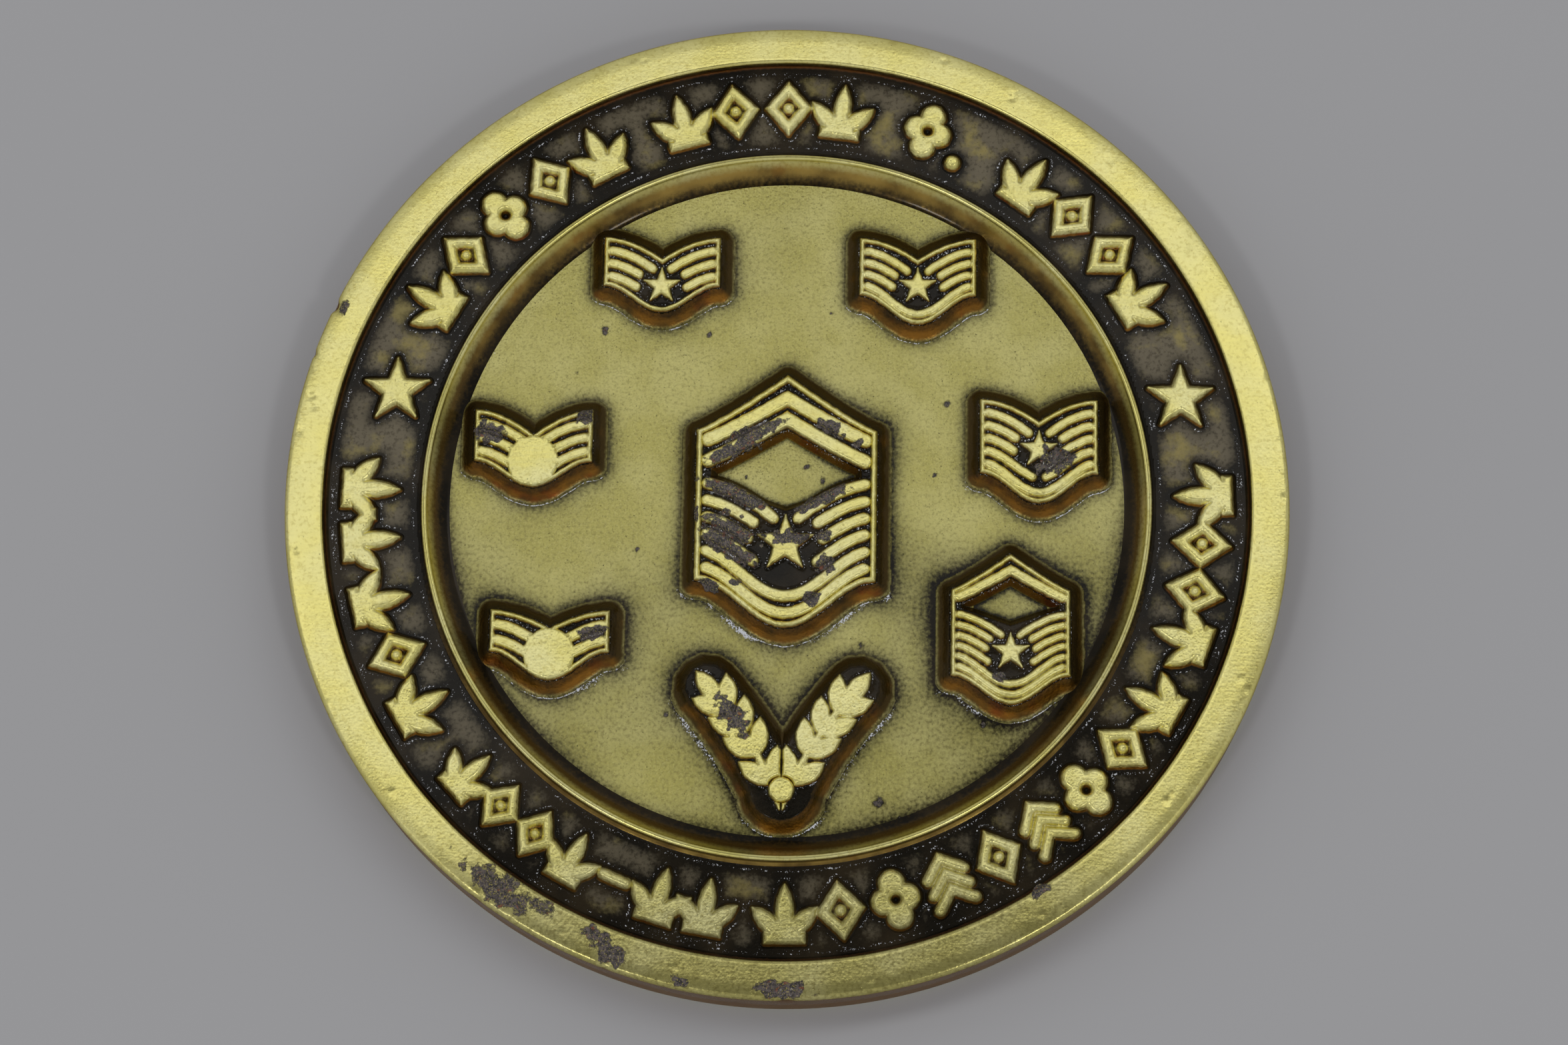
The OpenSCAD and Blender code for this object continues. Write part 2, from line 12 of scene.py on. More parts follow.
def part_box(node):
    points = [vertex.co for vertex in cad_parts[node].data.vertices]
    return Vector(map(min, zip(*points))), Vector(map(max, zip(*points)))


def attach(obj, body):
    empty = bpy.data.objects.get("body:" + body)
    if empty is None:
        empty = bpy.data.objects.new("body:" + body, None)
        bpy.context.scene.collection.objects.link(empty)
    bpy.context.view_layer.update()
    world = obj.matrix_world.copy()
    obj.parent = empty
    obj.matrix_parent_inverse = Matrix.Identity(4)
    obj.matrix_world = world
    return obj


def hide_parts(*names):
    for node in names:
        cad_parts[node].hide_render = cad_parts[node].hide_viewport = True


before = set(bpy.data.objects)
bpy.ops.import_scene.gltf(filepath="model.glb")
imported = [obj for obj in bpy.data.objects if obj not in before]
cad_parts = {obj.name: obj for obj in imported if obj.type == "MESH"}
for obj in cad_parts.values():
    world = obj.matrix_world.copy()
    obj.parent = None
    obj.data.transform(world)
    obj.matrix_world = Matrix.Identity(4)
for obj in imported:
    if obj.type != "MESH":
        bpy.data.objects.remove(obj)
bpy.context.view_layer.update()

# ---- sizes, in millimetres as the coin's own drawing has them; MM turns them into metres ----

MM = 0.001
SEED = 1944
FAR = 9.0  # further than any wash reaches

# Grid steps of the meshes
RELIEF_STEP = 0.04
REVERSE_STEP = 0.06
PEDESTAL_STEP = 0.05
FLOOR_STEP = 0.085
FIELD_STEP = FLOOR_STEP * 1.2
REVERSE_FLOOR_STEP = FLOOR_STEP * 1.5
GRID_MARGIN = 0.3
RELIEF_MARGIN = 0.2

# Walls and edges of the reliefs
BURY = 0.07  # how far a relief runs on under the floor it stands on
UNDERSIDE = 0.03  # how far below that its flat underside lies
LEGEND_DRAFT, LEGEND_SHOULDER = 0.24, 0.16
STRIPE_DRAFT, STRIPE_SHOULDER = 0.11, 0.09
PEDESTAL_DRAFT, PEDESTAL_SHOULDER = 0.66, 0.05
OPENING_DRAFT = 0.34
BEAD_ROUND = 0.5
EDGE_WAVER = 0.014  # how far a relief's edge strays from its drawn outline
TOP_WAVER = 0.006
SEAM = 0.012  # outlines closer than this are one seam
SEAM_STEP = 0.004  # how far the lower of two joined reliefs lies below the other
OVERLAP = 0.06  # how far joined reliefs reach under each other
FLOOR_OVERLAP = 0.1  # how far the floors reach under the rim
FIELD_OVERLAP = 0.3
RING_OVERLAP = 0.25

# Rim, edge and ring
EDGE_ROUND = 0.26
CROWN_W, CROWN_DROP = 0.5, 0.035  # the rim's outer part falls away slightly
LIP_ROUND = 0.16
RIM_DRAFT = 0.3
RIM_TURNS = 1250
RING_TURNS = 1800
CREST_ROUND = 0.16
COVE_W = 0.96
RING_SLOPE_W = 0.32

# Wash, dirt, painted shade, lacquer and painted glints
HALO = 0.41  # how far the wash at a wall's foot spreads on the floor
FOOT_WASH = 0.62
# Painted shade: darkens the near side of the rim and the ornament
NEAR_SIDE_SHADE = 0.43  # on the near side of the rim and the ornament
# Darkening of the field towards the spray, the lower right and beside the lower right plate: partly dirt,
# partly painted shade
GRIME_AND_SHADE = 0.26  # how much the field darkens towards the spray
DARK_PATCH = (5.6, -3.4, 3.0)  # middle and radius of the darker patch beside the lower right plate
FOOT_LINE = 0.16  # how far the lacquer line at a pedestal's foot runs out on the field
GLINT = 0.5  # strength of the pale glints where lacquer meets the stripes
MENISCUS = 0.05  # lacquer gathered at the foot of the stripes
MENISCUS_H = 0.035


def box_mm(node):
    """Lowest and highest corner of a CAD node, in millimetres."""
    low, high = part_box(node)
    return np.array(low) / MM, np.array(high) / MM


COIN_R = box_mm("rim")[1][0]
COIN_H = box_mm("rim")[1][2]
RIM_IN_R = box_mm("planchet")[1][0]
FIELD_R = box_mm("obverse_field")[1][0]
FIELD_Z = box_mm("obverse_field")[1][2]
BAND_Z = box_mm("ornament_band")[1][2]
CREST_Z = box_mm("border_ring")[1][2]
RING_OUT_R = box_mm("border_ring")[1][0]
CORE_TOP = box_mm("planchet")[1][2]
CORE_BOTTOM = box_mm("planchet")[0][2]
PLATE_Z = box_mm("centre_pedestal")[1][2]
REVERSE_Z = box_mm("reverse_field")[0][2]

NODES = sorted(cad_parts)
PEDESTALS = [n for n in NODES if n.endswith("_pedestal")]
LEGEND_STARTS = ("ornament_upper", "ornament_lower", "ornament_dash", "band_star")
LEGEND = [n for n in NODES if n.startswith(LEGEND_STARTS)]
DEVICE_ENDS = ("_stripes", "_chevrons", "_border", "_disc", "_branch", "_knot")
ON_PLATES = [n for n in NODES if n.endswith(DEVICE_ENDS)]
ON_PLATES += [n for n in NODES if n.endswith("_star") and not n.startswith("reverse")]
ON_PLATES = [n for n in ON_PLATES if not n.startswith("reverse")]
REVERSE = [n for n in NODES if n.startswith("reverse") and n != "reverse_field"]

# Tarnish: x, y, half length, half width, turn in degrees, strength
TARNISH = [
    (-1.95, 2.6, 1.9, 0.36, 29, 1.0),
    (-1.9, 3.08, 1.0, 0.2, 25, 0.95),
    (1.95, 3.35, 0.6, 0.38, -30, 0.95),
    (3.15, 2.6, 0.25, 0.25, 0, 0.7),
    (-2.2, 0.25, 1.6, 0.38, -25, 1.0),
    (1.5, 0.1, 1.5, 0.34, 28, 0.95),
    (-2.7, -0.6, 0.22, 0.18, 0, 0.8),
    (-1.95, -0.8, 0.18, 0.14, 0, 0.7),
    (-2.55, -1.45, 1.35, 0.5, -27, 1.0),
    (-2.4, -2.3, 1.45, 0.45, -30, 1.0),
    (0.0, -1.7, 1.15, 0.32, 0, 0.95),
    (1.7, -1.7, 0.4, 0.3, 0, 0.85),
    (1.85, -2.9, 0.5, 0.4, 20, 0.9),
    (1.2, -4.5, 0.45, 0.35, 20, 0.95),
    (-2.2, -3.8, 0.25, 0.2, 0, 0.7),
    (-3.3, -3.9, 0.45, 0.25, -30, 0.9),
    (-3.95, -0.75, 0.12, 0.35, 0, 0.9),
    (11.95, 2.0, 1.0, 0.62, 25, 0.95),
    (-13.3, 3.0, 0.75, 0.5, -10, 0.95),
    (-9.0, 3.75, 0.4, 0.45, 0, 0.9),
    (-8.4, -6.15, 0.75, 0.3, 15, 1.0),
    (-2.2, -9.8, 1.1, 0.5, -50, 0.9),
    (9.5, -7.95, 0.35, 0.25, -10, 0.8),
]
RIM_TARNISH = [  # turn in degrees, radius, half length, half width, strength
    (235.5, 21.3, 1.9, 0.7, 0.62),
    (240.5, 21.0, 0.9, 0.4, 0.5),
    (248.0, 20.95, 0.6, 0.35, 0.85),
    (250.5, 21.55, 0.8, 0.5, 0.95),
    (259.0, 21.9, 0.4, 0.25, 0.7),
    (270.5, 21.72, 1.1, 0.42, 1.0),
    (156.8, 21.85, 0.35, 0.3, 0.7),
    (303.0, 20.6, 0.5, 0.3, 0.8),
]
FIELD_SPOTS = [  # x, y, radius
    (0.9, 1.7, 0.13),
    (1.6, 1.1, 0.14),
    (-1.8, 1.2, 0.1),
    (-8.3, 8.0, 0.2),
    (-3.6, 7.85, 0.14),
    (7.1, 4.7, 0.16),
    (6.6, 1.4, 0.12),
    (4.25, -13.4, 0.24),
    (5.2, -14.2, 0.16),
    (3.4, -6.4, 0.12),
    (-6.6, -2.2, 0.12),
    (-5.1, -9.6, 0.1),
    (8.8, -9.9, 0.12),
    (-9.5, 6.0, 0.1),
    (1.9, 8.9, 0.1),
]
DENTS = [  # turn in degrees, radius, height, half size, depth
    (156.8, 22.1, 3.05, 0.45, 0.22),
    (163.0, 22.15, 3.0, 0.25, 0.1),
    (250.5, 21.9, 3.1, 0.5, 0.1),
    (271.0, 22.0, 3.1, 0.6, 0.12),
    (234.0, 21.9, 3.15, 0.6, 0.07),
    (302.0, 20.6, 3.2, 0.3, 0.08),
]
SMALL_DENTS = 90
SMALL_DENT_SIZE = (0.15, 0.32)


# ---- shapes in plan ----


FLAT = 0.002  # a point this close to the top counts as on it
WELDS_PER_MM = 2000  # points are told apart to this fraction of a millimetre


def cap_loops(node, top=True):
    """The outlines of a CAD node's top (or bottom) faces, as closed loops of points in millimetres."""
    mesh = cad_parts[node].data
    co = np.empty(len(mesh.vertices) * 3, np.float32)
    mesh.vertices.foreach_get("co", co)
    co = co.reshape(-1, 3).astype(float) / MM
    mesh.calc_loop_triangles()
    faces = np.empty(len(mesh.loop_triangles) * 3, np.int32)
    mesh.loop_triangles.foreach_get("vertices", faces)
    faces = faces.reshape(-1, 3)
    level = co[:, 2].max() if top else co[:, 2].min()
    flat = np.all(np.abs(co[faces][:, :, 2] - level) < FLAT, axis=1)
    keys = [tuple(k) for k in np.round(co[:, :2] * WELDS_PER_MM).astype(int)]
    places, ahead, edges = {}, {}, set()
    for face in faces[flat]:
        corners = face if top else face[::-1]
        ring = [keys[i] for i in corners]
        for i, k in zip(corners, ring):
            places[k] = co[i, :2]
        for a, b in zip(ring, ring[1:] + ring[:1]):
            if a != b:
                edges.add((a, b))
    for a, b in edges:
        if (b, a) not in edges:
            ahead.setdefault(a, []).append(b)
    loops = []
    while ahead:
        start = next(iter(ahead))
        loop, here = [], start
        while here in ahead:
            loop.append(places[here])
            after = ahead[here].pop()
            if not ahead[here]:
                del ahead[here]
            here = after
        loops.append(np.array(loop))
    return loops


def area(loop):
    """Signed area: positive round the outside, negative round a hole."""
    x, y = loop[:, 0], loop[:, 1]
    return 0.5 * float(np.sum(x * np.roll(y, -1) - np.roll(x, -1) * y))


class Grid:
    """A square grid over a box in plan, which holds heights and masks at its points."""

    def __init__(self, low, high, step):
        self.step = step
        self.nx, self.ny = (np.ceil((np.array(high) - low) / step).astype(int) + 1).tolist()
        self.xs = low[0] + np.arange(self.nx) * step
        self.ys = low[1] + np.arange(self.ny) * step
        self.x, self.y = np.meshgrid(self.xs, self.ys)
        self.r = np.hypot(self.x, self.y)

    def distance(self, loops, reach, edges=None):
        """Signed distance to the loops' edges, positive inside, no further than reach."""
        gap = np.full((self.ny, self.nx), reach)
        inside = np.zeros((self.ny, self.nx), bool)
        outline = [pair for loop in loops for pair in zip(loop, np.roll(loop, -1, axis=0))]
        for a, b in outline:
            if a[1] != b[1]:
                j0, j1 = np.searchsorted(self.ys, sorted((a[1], b[1])))
                cross = a[0] + (self.ys[j0:j1] - a[1]) * (b[0] - a[0]) / (b[1] - a[1])
                inside[j0:j1] ^= self.xs[None, :] > cross[:, None]
        for a, b in outline if edges is None else edges:
            low, high = np.minimum(a, b) - reach, np.maximum(a, b) + reach
            i0, i1 = np.searchsorted(self.xs, (low[0], high[0]))
            j0, j1 = np.searchsorted(self.ys, (low[1], high[1]))
            if i0 < i1 and j0 < j1:
                d = b - a
                px, py = self.x[j0:j1, i0:i1] - a[0], self.y[j0:j1, i0:i1] - a[1]
                t = np.clip((px * d[0] + py * d[1]) / max(d @ d, 1e-12), 0, 1)
                near = np.hypot(px - t * d[0], py - t * d[1])
                gap[j0:j1, i0:i1] = np.minimum(gap[j0:j1, i0:i1], near)
        return np.where(inside, gap, -gap)


def disc_grid(radius, step):
    """A grid over a round floor of that radius."""
    return Grid((-radius - GRID_MARGIN,) * 2, (radius + GRID_MARGIN,) * 2, step)


def smooth(t):
    """0 below 0, 1 above 1, smooth between."""
    t = np.clip(t, 0, 1)
    return t * t * (3 - 2 * t)


def fade(distance, width):
    """1 where the distance is 0 or less, dying away beyond."""
    return np.exp(-np.clip(distance, 0, FAR) / width)


def line_at(distance, middle, width):
    """A soft line where the distance is middle."""
    return np.exp(-(((distance - middle) / width) ** 2))


WAVES = 9
WAVE_RANGE = (0.6, 1.6)  # pitches of the waves, in feature sizes


def blotches(x, y, size, seed):
    """Soft seeded noise from -1 to 1 with features of that size: a sum of turned waves."""
    rng = np.random.default_rng(seed)
    total = np.zeros_like(x)
    for _ in range(WAVES):
        turn, phase = rng.uniform(0, 2 * math.pi, 2)
        pitch = size * rng.uniform(*WAVE_RANGE)
        total += np.sin((x * math.cos(turn) + y * math.sin(turn)) * 2 * math.pi / pitch + phase)
    return total / (WAVES / 2)


def tarnish_at(x, y):
    """How tarnished each point is, from 0 to 1, before the fine noise that the material adds."""
    total = np.zeros_like(x)
    wobble = 0.3 * blotches(x, y, 0.9, SEED) + 0.2 * blotches(x, y, 0.35, SEED + 1)
    for cx, cy, long, wide, turn, strength in TARNISH:
        c, s = math.cos(math.radians(turn)), math.sin(math.radians(turn))
        u, v = (x - cx) * c + (y - cy) * s, (y - cy) * c - (x - cx) * s
        total = np.maximum(total, strength * smooth(1.35 - np.hypot(u / long, v / wide) + wobble))
    return total


def spots_at(x, y):
    """The dark specks on the field."""
    total = np.zeros_like(x)
    for cx, cy, radius in FIELD_SPOTS:
        near = np.hypot(x - cx, y - cy) / radius + 0.3 * blotches(x, y, 0.3, SEED + 2)
        total = np.maximum(total, smooth(1.4 - near))
    return total


# ---- meshes ----


def finish_mesh(node, verts, faces, masks, slot):
    """Makes a CAD node's visible piece from vertices and faces, with its masks."""
    name = node + "_brass"
    mesh = bpy.data.meshes.new(name)
    mesh.vertices.add(len(verts))
    mesh.vertices.foreach_set("co", (verts * MM).astype(np.float32).ravel())
    sizes = np.array([len(f) for f in faces], np.int32)
    corners = np.fromiter(itertools.chain.from_iterable(faces), np.int32)
    mesh.loops.add(len(corners))
    mesh.loops.foreach_set("vertex_index", corners)
    mesh.polygons.add(len(sizes))
    starts = np.concatenate([[0], np.cumsum(sizes)[:-1]]).astype(np.int32)
    mesh.polygons.foreach_set("loop_start", starts)
    mesh.polygons.foreach_set("use_smooth", np.ones(len(sizes), bool))
    mesh.update(calc_edges=True)
    mesh.validate()
    attribute = mesh.attributes.new("masks", "FLOAT_COLOR", "POINT")
    rgba = np.zeros((len(verts), 4), np.float32)
    rgba[:, : masks.shape[1]] = masks
    attribute.data.foreach_set("color", rgba.ravel())
    piece = bpy.data.objects.new(name, mesh)
    bpy.context.scene.collection.objects.link(piece)
    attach(piece, "root")
    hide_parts(node)
    piece.data.materials.append(MATERIALS[slot])
    return piece


PINCH_PASSES = 8


def no_pinches(keep):
    """Fills a cell wherever two kept cells meet only at a corner, so that the edge is a plain loop."""
    for _ in range(PINCH_PASSES):
        a, b, c, d = keep[:-1, :-1], keep[:-1, 1:], keep[1:, :-1], keep[1:, 1:]
        one, two = a & d & ~b & ~c, b & c & ~a & ~d
        if not (one.any() or two.any()):
            break
        keep[:-1, 1:] |= one
        keep[:-1, :-1] |= two
    return keep


def struck(node, grid, height, keep, base, masks, slot, sign=1):
    """A closed solid: the height field over the kept points, a skirt to base and a flat underside."""
    cell = keep[:-1, :-1] & keep[:-1, 1:] & keep[1:, :-1] & keep[1:, 1:]
    cell[0], cell[-1], cell[:, 0], cell[:, -1] = False, False, False, False
    cell = no_pinches(cell)
    j, i = np.nonzero(cell)
    first = j * grid.nx + i
    corner = np.stack([first, first + 1, first + grid.nx + 1, first + grid.nx], 1)
    used, flat = np.unique(corner, return_inverse=True)
    top = flat.reshape(-1, 4)
    x, y = grid.x.ravel()[used], grid.y.ravel()[used]
    verts = np.stack([x, y, height.ravel()[used]], 1)
    colours = np.stack([m.ravel()[used] for m in masks], 1)
    sides = np.concatenate([top[:, [k, (k + 1) % 4]] for k in range(4)])
    code = sides[:, 0].astype(np.int64) * len(used) + sides[:, 1]
    back = sides[:, 1].astype(np.int64) * len(used) + sides[:, 0]
    rim = sides[~np.isin(code, back)]
    lower = np.unique(rim)
    place = np.full(len(used), -1)
    place[lower] = len(used) + np.arange(len(lower))
    under = verts[lower].copy()
    under[:, 2] = base
    skirt = np.stack([rim[:, 1], rim[:, 0], place[rim[:, 0]], place[rim[:, 1]]], 1)
    verts, colours = np.concatenate([verts, under]), np.concatenate([colours, colours[lower]])
    bottom = fill_under(verts, place[rim])
    faces = [*top.tolist(), *skirt.tolist(), *bottom]
    if sign < 0:
        faces = [f[::-1] for f in faces]
    return finish_mesh(node, verts, faces, colours, slot)


def fill_under(verts, edges):
    """Triangles that close a flat edge loop, holes included, facing down."""
    bm = bmesh.new()
    made = {}
    for a, b in edges.tolist():
        for k in (a, b):
            if k not in made:
                made[k] = bm.verts.new((verts[k][0], verts[k][1], 0))
        bm.edges.new((made[a], made[b]))
    back = {v: k for k, v in made.items()}
    bmesh.ops.triangle_fill(bm, use_beauty=False, use_dissolve=False, edges=bm.edges[:])
    faces = []
    for f in bm.faces:
        ring = [back[v] for v in f.verts]
        p = [verts[k] for k in ring]
        turn = (p[1][0] - p[0][0]) * (p[2][1] - p[0][1]) - (p[1][1] - p[0][1]) * (p[2][0] - p[0][0])
        faces.append(ring[::-1] if turn > 0 else ring)
    bm.free()
    return faces


DENT_FLATNESS = (1, 1, 0.8)
DENT_SLANT = (0.6, 0.8)  # how far a dent pushes in and down


def turned(node, profile, turns, masks, slot, dents=()):
    """A closed profile turned round the coin's axis, given as (radius, height) points in order."""
    n = len(profile)
    angles = np.arange(turns) * 2 * math.pi / turns
    r, z = profile[:, 0], profile[:, 1]
    places = [np.outer(np.cos(angles), r), np.outer(np.sin(angles), r), np.tile(z, (turns, 1))]
    verts = np.stack(places, 2).reshape(-1, 3)
    for turn, radius, level, size, depth in dents:
        a = math.radians(turn)
        middle = np.array([radius * math.cos(a), radius * math.sin(a), level])
        gap = np.linalg.norm((verts - middle) * DENT_FLATNESS, axis=1) / size
        hit = gap < 1
        push, press = DENT_SLANT
        down = -press if level > COIN_H / 2 else press
        inward = np.array([-math.cos(a) * push, -math.sin(a) * push, down])
        verts[hit] += inward * (depth * (1 - gap[hit] ** 2) ** 2)[:, None]
    k, t = np.meshgrid(np.arange(n), np.arange(turns))
    k2, t2 = (k + 1) % n, (t + 1) % turns
    faces = np.stack([t * n + k, t2 * n + k, t2 * n + k2, t * n + k2], 2).reshape(-1, 4)
    return finish_mesh(node, verts, faces, masks(verts), slot)


def arc(centre, radius, start, end, steps):
    """Points on an arc, from one turn in degrees to the other."""
    a = np.radians(np.linspace(start, end, steps))
    return np.stack([centre[0] + radius * np.cos(a), centre[1] + radius * np.sin(a)], 1)


def between(a, b, steps):
    """Points from a to b, without b."""
    t = np.arange(steps)[:, None] / steps
    return np.array(a) * (1 - t) + np.array(b) * t


# ---- materials ----


class Tree:
    """Short calls for the nodes of one material."""

    def __init__(self, name):
        self.material = bpy.data.materials.new(name)
        self.material.use_nodes = True
        self.nodes = self.material.node_tree.nodes
        self.links = self.material.node_tree.links
        self.shader = self.nodes["Principled BSDF"]
        self.coords = self.nodes.new("ShaderNodeTexCoord")
        self.place = self.vector("SCALE", self.coords.outputs["Object"], 1 / MM)

    def put(self, socket, value):
        if isinstance(value, bpy.types.NodeSocket):
            self.links.new(value, socket)
        else:
            socket.default_value = value

    def vector(self, operation, a, b):
        node = self.nodes.new("ShaderNodeVectorMath")
        node.operation = operation
        self.put(node.inputs[0], a)
        self.put(node.inputs["Scale"] if operation == "SCALE" else node.inputs[1], b)
        return node.outputs[0]

    def math(self, operation, a, b=0.0, c=0.0, clamp=False):
        node = self.nodes.new("ShaderNodeMath")
        node.operation = operation
        node.use_clamp = clamp
        for socket, value in zip(node.inputs, (a, b, c)):
            self.put(socket, value)
        return node.outputs[0]

    def times(self, a, b):
        return self.math("MULTIPLY", a, b)

    def jitter(self, noise, amount, value):
        """The value, moved up or down by the noise, at most by half the amount."""
        return self.math("MULTIPLY_ADD", self.math("SUBTRACT", noise, 0.5), amount, value)

    def noise(self, size, detail=3.0, roughness=0.5, stretch=(1, 1, 1), offset=0.0):
        """Noise whose features are about size millimetres wide."""
        node = self.nodes.new("ShaderNodeTexNoise")
        spot = self.vector("MULTIPLY", self.place, stretch)
        self.put(node.inputs["Vector"], self.vector("ADD", spot, (offset, offset, offset)))
        node.inputs["Scale"].default_value = 1 / size
        node.inputs["Detail"].default_value = detail
        node.inputs["Roughness"].default_value = roughness
        return node.outputs["Fac"]

    def grains(self, size):
        """Soft round grains, about size millimetres wide."""
        node = self.nodes.new("ShaderNodeTexVoronoi")
        node.feature = "SMOOTH_F1"
        node.inputs["Smoothness"].default_value = 0.6
        self.put(node.inputs["Vector"], self.place)
        node.inputs["Scale"].default_value = 1 / size
        return node.outputs["Distance"]

    def step(self, value, low, high):
        """0 below low, 1 above high, smooth between."""
        node = self.nodes.new("ShaderNodeMapRange")
        node.interpolation_type = "SMOOTHSTEP"
        self.put(node.inputs["Value"], value)
        node.inputs["From Min"].default_value = low
        node.inputs["From Max"].default_value = high
        return node.outputs["Result"]

    def blend(self, share, a, b):
        node = self.nodes.new("ShaderNodeMix")
        node.data_type = "RGBA"
        self.put(node.inputs["Factor"], share)
        self.put(node.inputs["A"], (*a, 1) if isinstance(a, tuple) else a)
        self.put(node.inputs["B"], (*b, 1) if isinstance(b, tuple) else b)
        return node.outputs["Result"]

    def facing(self, side):
        """How far the surface leans towards +Y (side 1) or -Y (side -1) of the coin."""
        split = self.nodes.new("ShaderNodeSeparateXYZ")
        self.links.new(self.coords.outputs["Normal"], split.inputs[0])
        return self.math("MULTIPLY", split.outputs["Y"], side)

    def masks(self):
        """The piece's own masks: dark wash (patina, with painted shade on some pieces), amber slope for
        painted light on the walls, tarnish, painted glints.
        """
        attribute = self.nodes.new("ShaderNodeAttribute")
        attribute.attribute_name = "masks"
        split = self.nodes.new("ShaderNodeSeparateColor")
        self.links.new(attribute.outputs["Color"], split.inputs["Color"])
        return *(split.outputs[c] for c in ("Red", "Green", "Blue")), attribute.outputs["Alpha"]

    def bump(self, height, distance, below=None):
        """distance is the bump's depth in millimetres."""
        node = self.nodes.new("ShaderNodeBump")
        node.inputs["Distance"].default_value = distance * MM
        self.put(node.inputs["Height"], height)
        if below is not None:
            self.links.new(below, node.inputs["Normal"])
        return node.outputs["Normal"]


BRIGHT = (0.76, 0.69, 0.22)
BRIGHT_PALE = (0.84, 0.79, 0.36)
BRIGHT_DEEP = (0.56, 0.48, 0.13)
# Wall tones: amber is partly the lacquer's tone and partly painted light on walls that face the near side;
# the deep tone is painted shade on walls that face away
AMBER = (0.34, 0.15, 0.018)
AMBER_RED = (0.3, 0.082, 0.012)
AMBER_SHADED = (0.075, 0.048, 0.012)
WASH = (0.007, 0.006, 0.004)
WASH_BROWN = (0.026, 0.019, 0.01)
FLOOR_GREY = (0.15, 0.128, 0.085)
FLOOR_OLIVE = (0.33, 0.27, 0.085)
FIELD = (0.52, 0.475, 0.145)
FIELD_PALE = (0.63, 0.585, 0.22)
FIELD_DEEP = (0.35, 0.31, 0.1)
SLATE = (0.05, 0.047, 0.045)
SLATE_PURPLE = (0.155, 0.13, 0.122)
RUST = (0.34, 0.1, 0.04)
# Pale colour of the painted glints and highlights on the lacquer
GLINT_WHITE = (0.72, 0.74, 0.78)
TINT = (0.85, 0.7, 0.5, 1)


def worn_base(tree, tones, brushed, grain, mottled):
    """Rubbed metal: broad clouds, brushing, deeper specks and, on the band, olive patches."""
    plain, pale, deep = tones
    base = tree.blend(tree.step(tree.cloud, 0.35, 0.68), plain, pale)
    base = tree.blend(tree.times(tree.step(tree.streak, 0.42, 0.66), 0.4 * brushed), base, BRIGHT_PALE)
    base = tree.blend(tree.times(tree.step(tree.fine, 0.48, 0.7), 0.5), base, deep)
    base = tree.blend(tree.times(tree.step(tree.speck, 0.5, 0.7), 0.35 * grain), base, pale)
    if mottled:
        patch = tree.step(tree.noise(1.9, detail=5, roughness=0.62, offset=19), 0.49, 0.66)
        base = tree.blend(tree.times(patch, mottled), base, FLOOR_OLIVE)
    return base


def lit_by_side(tree, base, slope, ambers):
    """Painted light and shade on the walls: amber where a wall faces the near (-Y) side, dark brown where
    it faces away.
    """
    light, red, deep = ambers
    # How far each wall faces the near side, which picks painted light or painted shade
    run = tree.jitter(tree.noise(1.2, detail=4, offset=23), 1.5, tree.facing(-1))
    amber = tree.blend(tree.step(tree.noise(1.3, detail=2, offset=29), 0.55, 0.7), light, red)
    amber = tree.blend(tree.step(run, 0.1, 0.95), deep, amber)
    return tree.blend(tree.step(tree.jitter(tree.fine, 0.3, slope), 0.0, 0.85), base, amber)


def stained(tree, wash):
    """Share of dark wash, which breaks up where it thins out."""
    return tree.step(tree.jitter(tree.fine, tree.times(wash, 0.9), wash), 0.03, 0.92)


def pits(tree, pitted):
    """Small dark pits in sparse groups, denser and wider as pitted rises."""
    spots = tree.noise(0.11, detail=2, roughness=0.6, offset=11)
    groups = tree.noise(1.1, offset=31)
    pit = tree.step(spots, 0.7 - 0.04 * pitted, 0.76 - 0.03 * pitted)
    return tree.times(pit, tree.step(groups, 0.4 - 0.1 * pitted, 0.62))


def tarnished(tree, tarnish):
    """Share of tarnish, with a ragged edge."""
    ragged = tree.jitter(tree.noise(0.22, detail=5, roughness=0.7, offset=41), 1.5, tarnish)
    return tree.step(ragged, 0.28, 0.5)


def crust(tree, fleck):
    """Grey to purple tarnish, with flecks of brass and a little rust in it."""
    colour = tree.step(tree.noise(0.13, detail=5, roughness=0.75, offset=43), 0.42, 0.58)
    colour = tree.blend(colour, SLATE, SLATE_PURPLE)
    colour = tree.blend(tree.times(tree.step(tree.speck, 0.56, 0.66), 0.55), colour, fleck)
    rusty = tree.times(tree.step(tree.noise(0.3, detail=3, offset=47), 0.62, 0.72), 0.5)
    return tree.blend(rusty, colour, RUST)


def painted_glints(tree, glint_line):
    """Painted glints: pale broken dashes of highlight on the lacquer."""
    patchy = tree.math("MULTIPLY_ADD", tree.noise(0.8, detail=2, offset=71), 2.4, -0.4)
    flake = tree.jitter(tree.speck, 2.4, tree.times(glint_line, patchy))
    return tree.times(tree.step(flake, 0.55, 0.9), tree.step(glint_line, 0.02, 0.2))


def surface(tree, brushed, grain, glaze, dark, pit, rot):
    """The bumps: brushing, grain, pits, the tarnish's crust and pooled lacquer."""
    normal = tree.bump(tree.streak, 0.006 * brushed + 0.001)
    if grain:
        normal = tree.bump(tree.grains(0.11), 0.02 * grain, normal)
        normal = tree.bump(tree.fine, 0.016 * grain, normal)
    normal = tree.bump(tree.times(pit, -1.0), 0.012, normal)
    scabs = tree.noise(0.14, detail=4, roughness=0.7, offset=53)
    normal = tree.bump(tree.times(rot, scabs), 0.06, normal)
    if glaze:
        pooled = tree.times(tree.noise(0.2, detail=3, roughness=0.6, offset=61), dark)
        normal = tree.bump(pooled, 0.05 * glaze, normal)
    return normal


AMBERS = (AMBER, AMBER_RED, AMBER_SHADED)


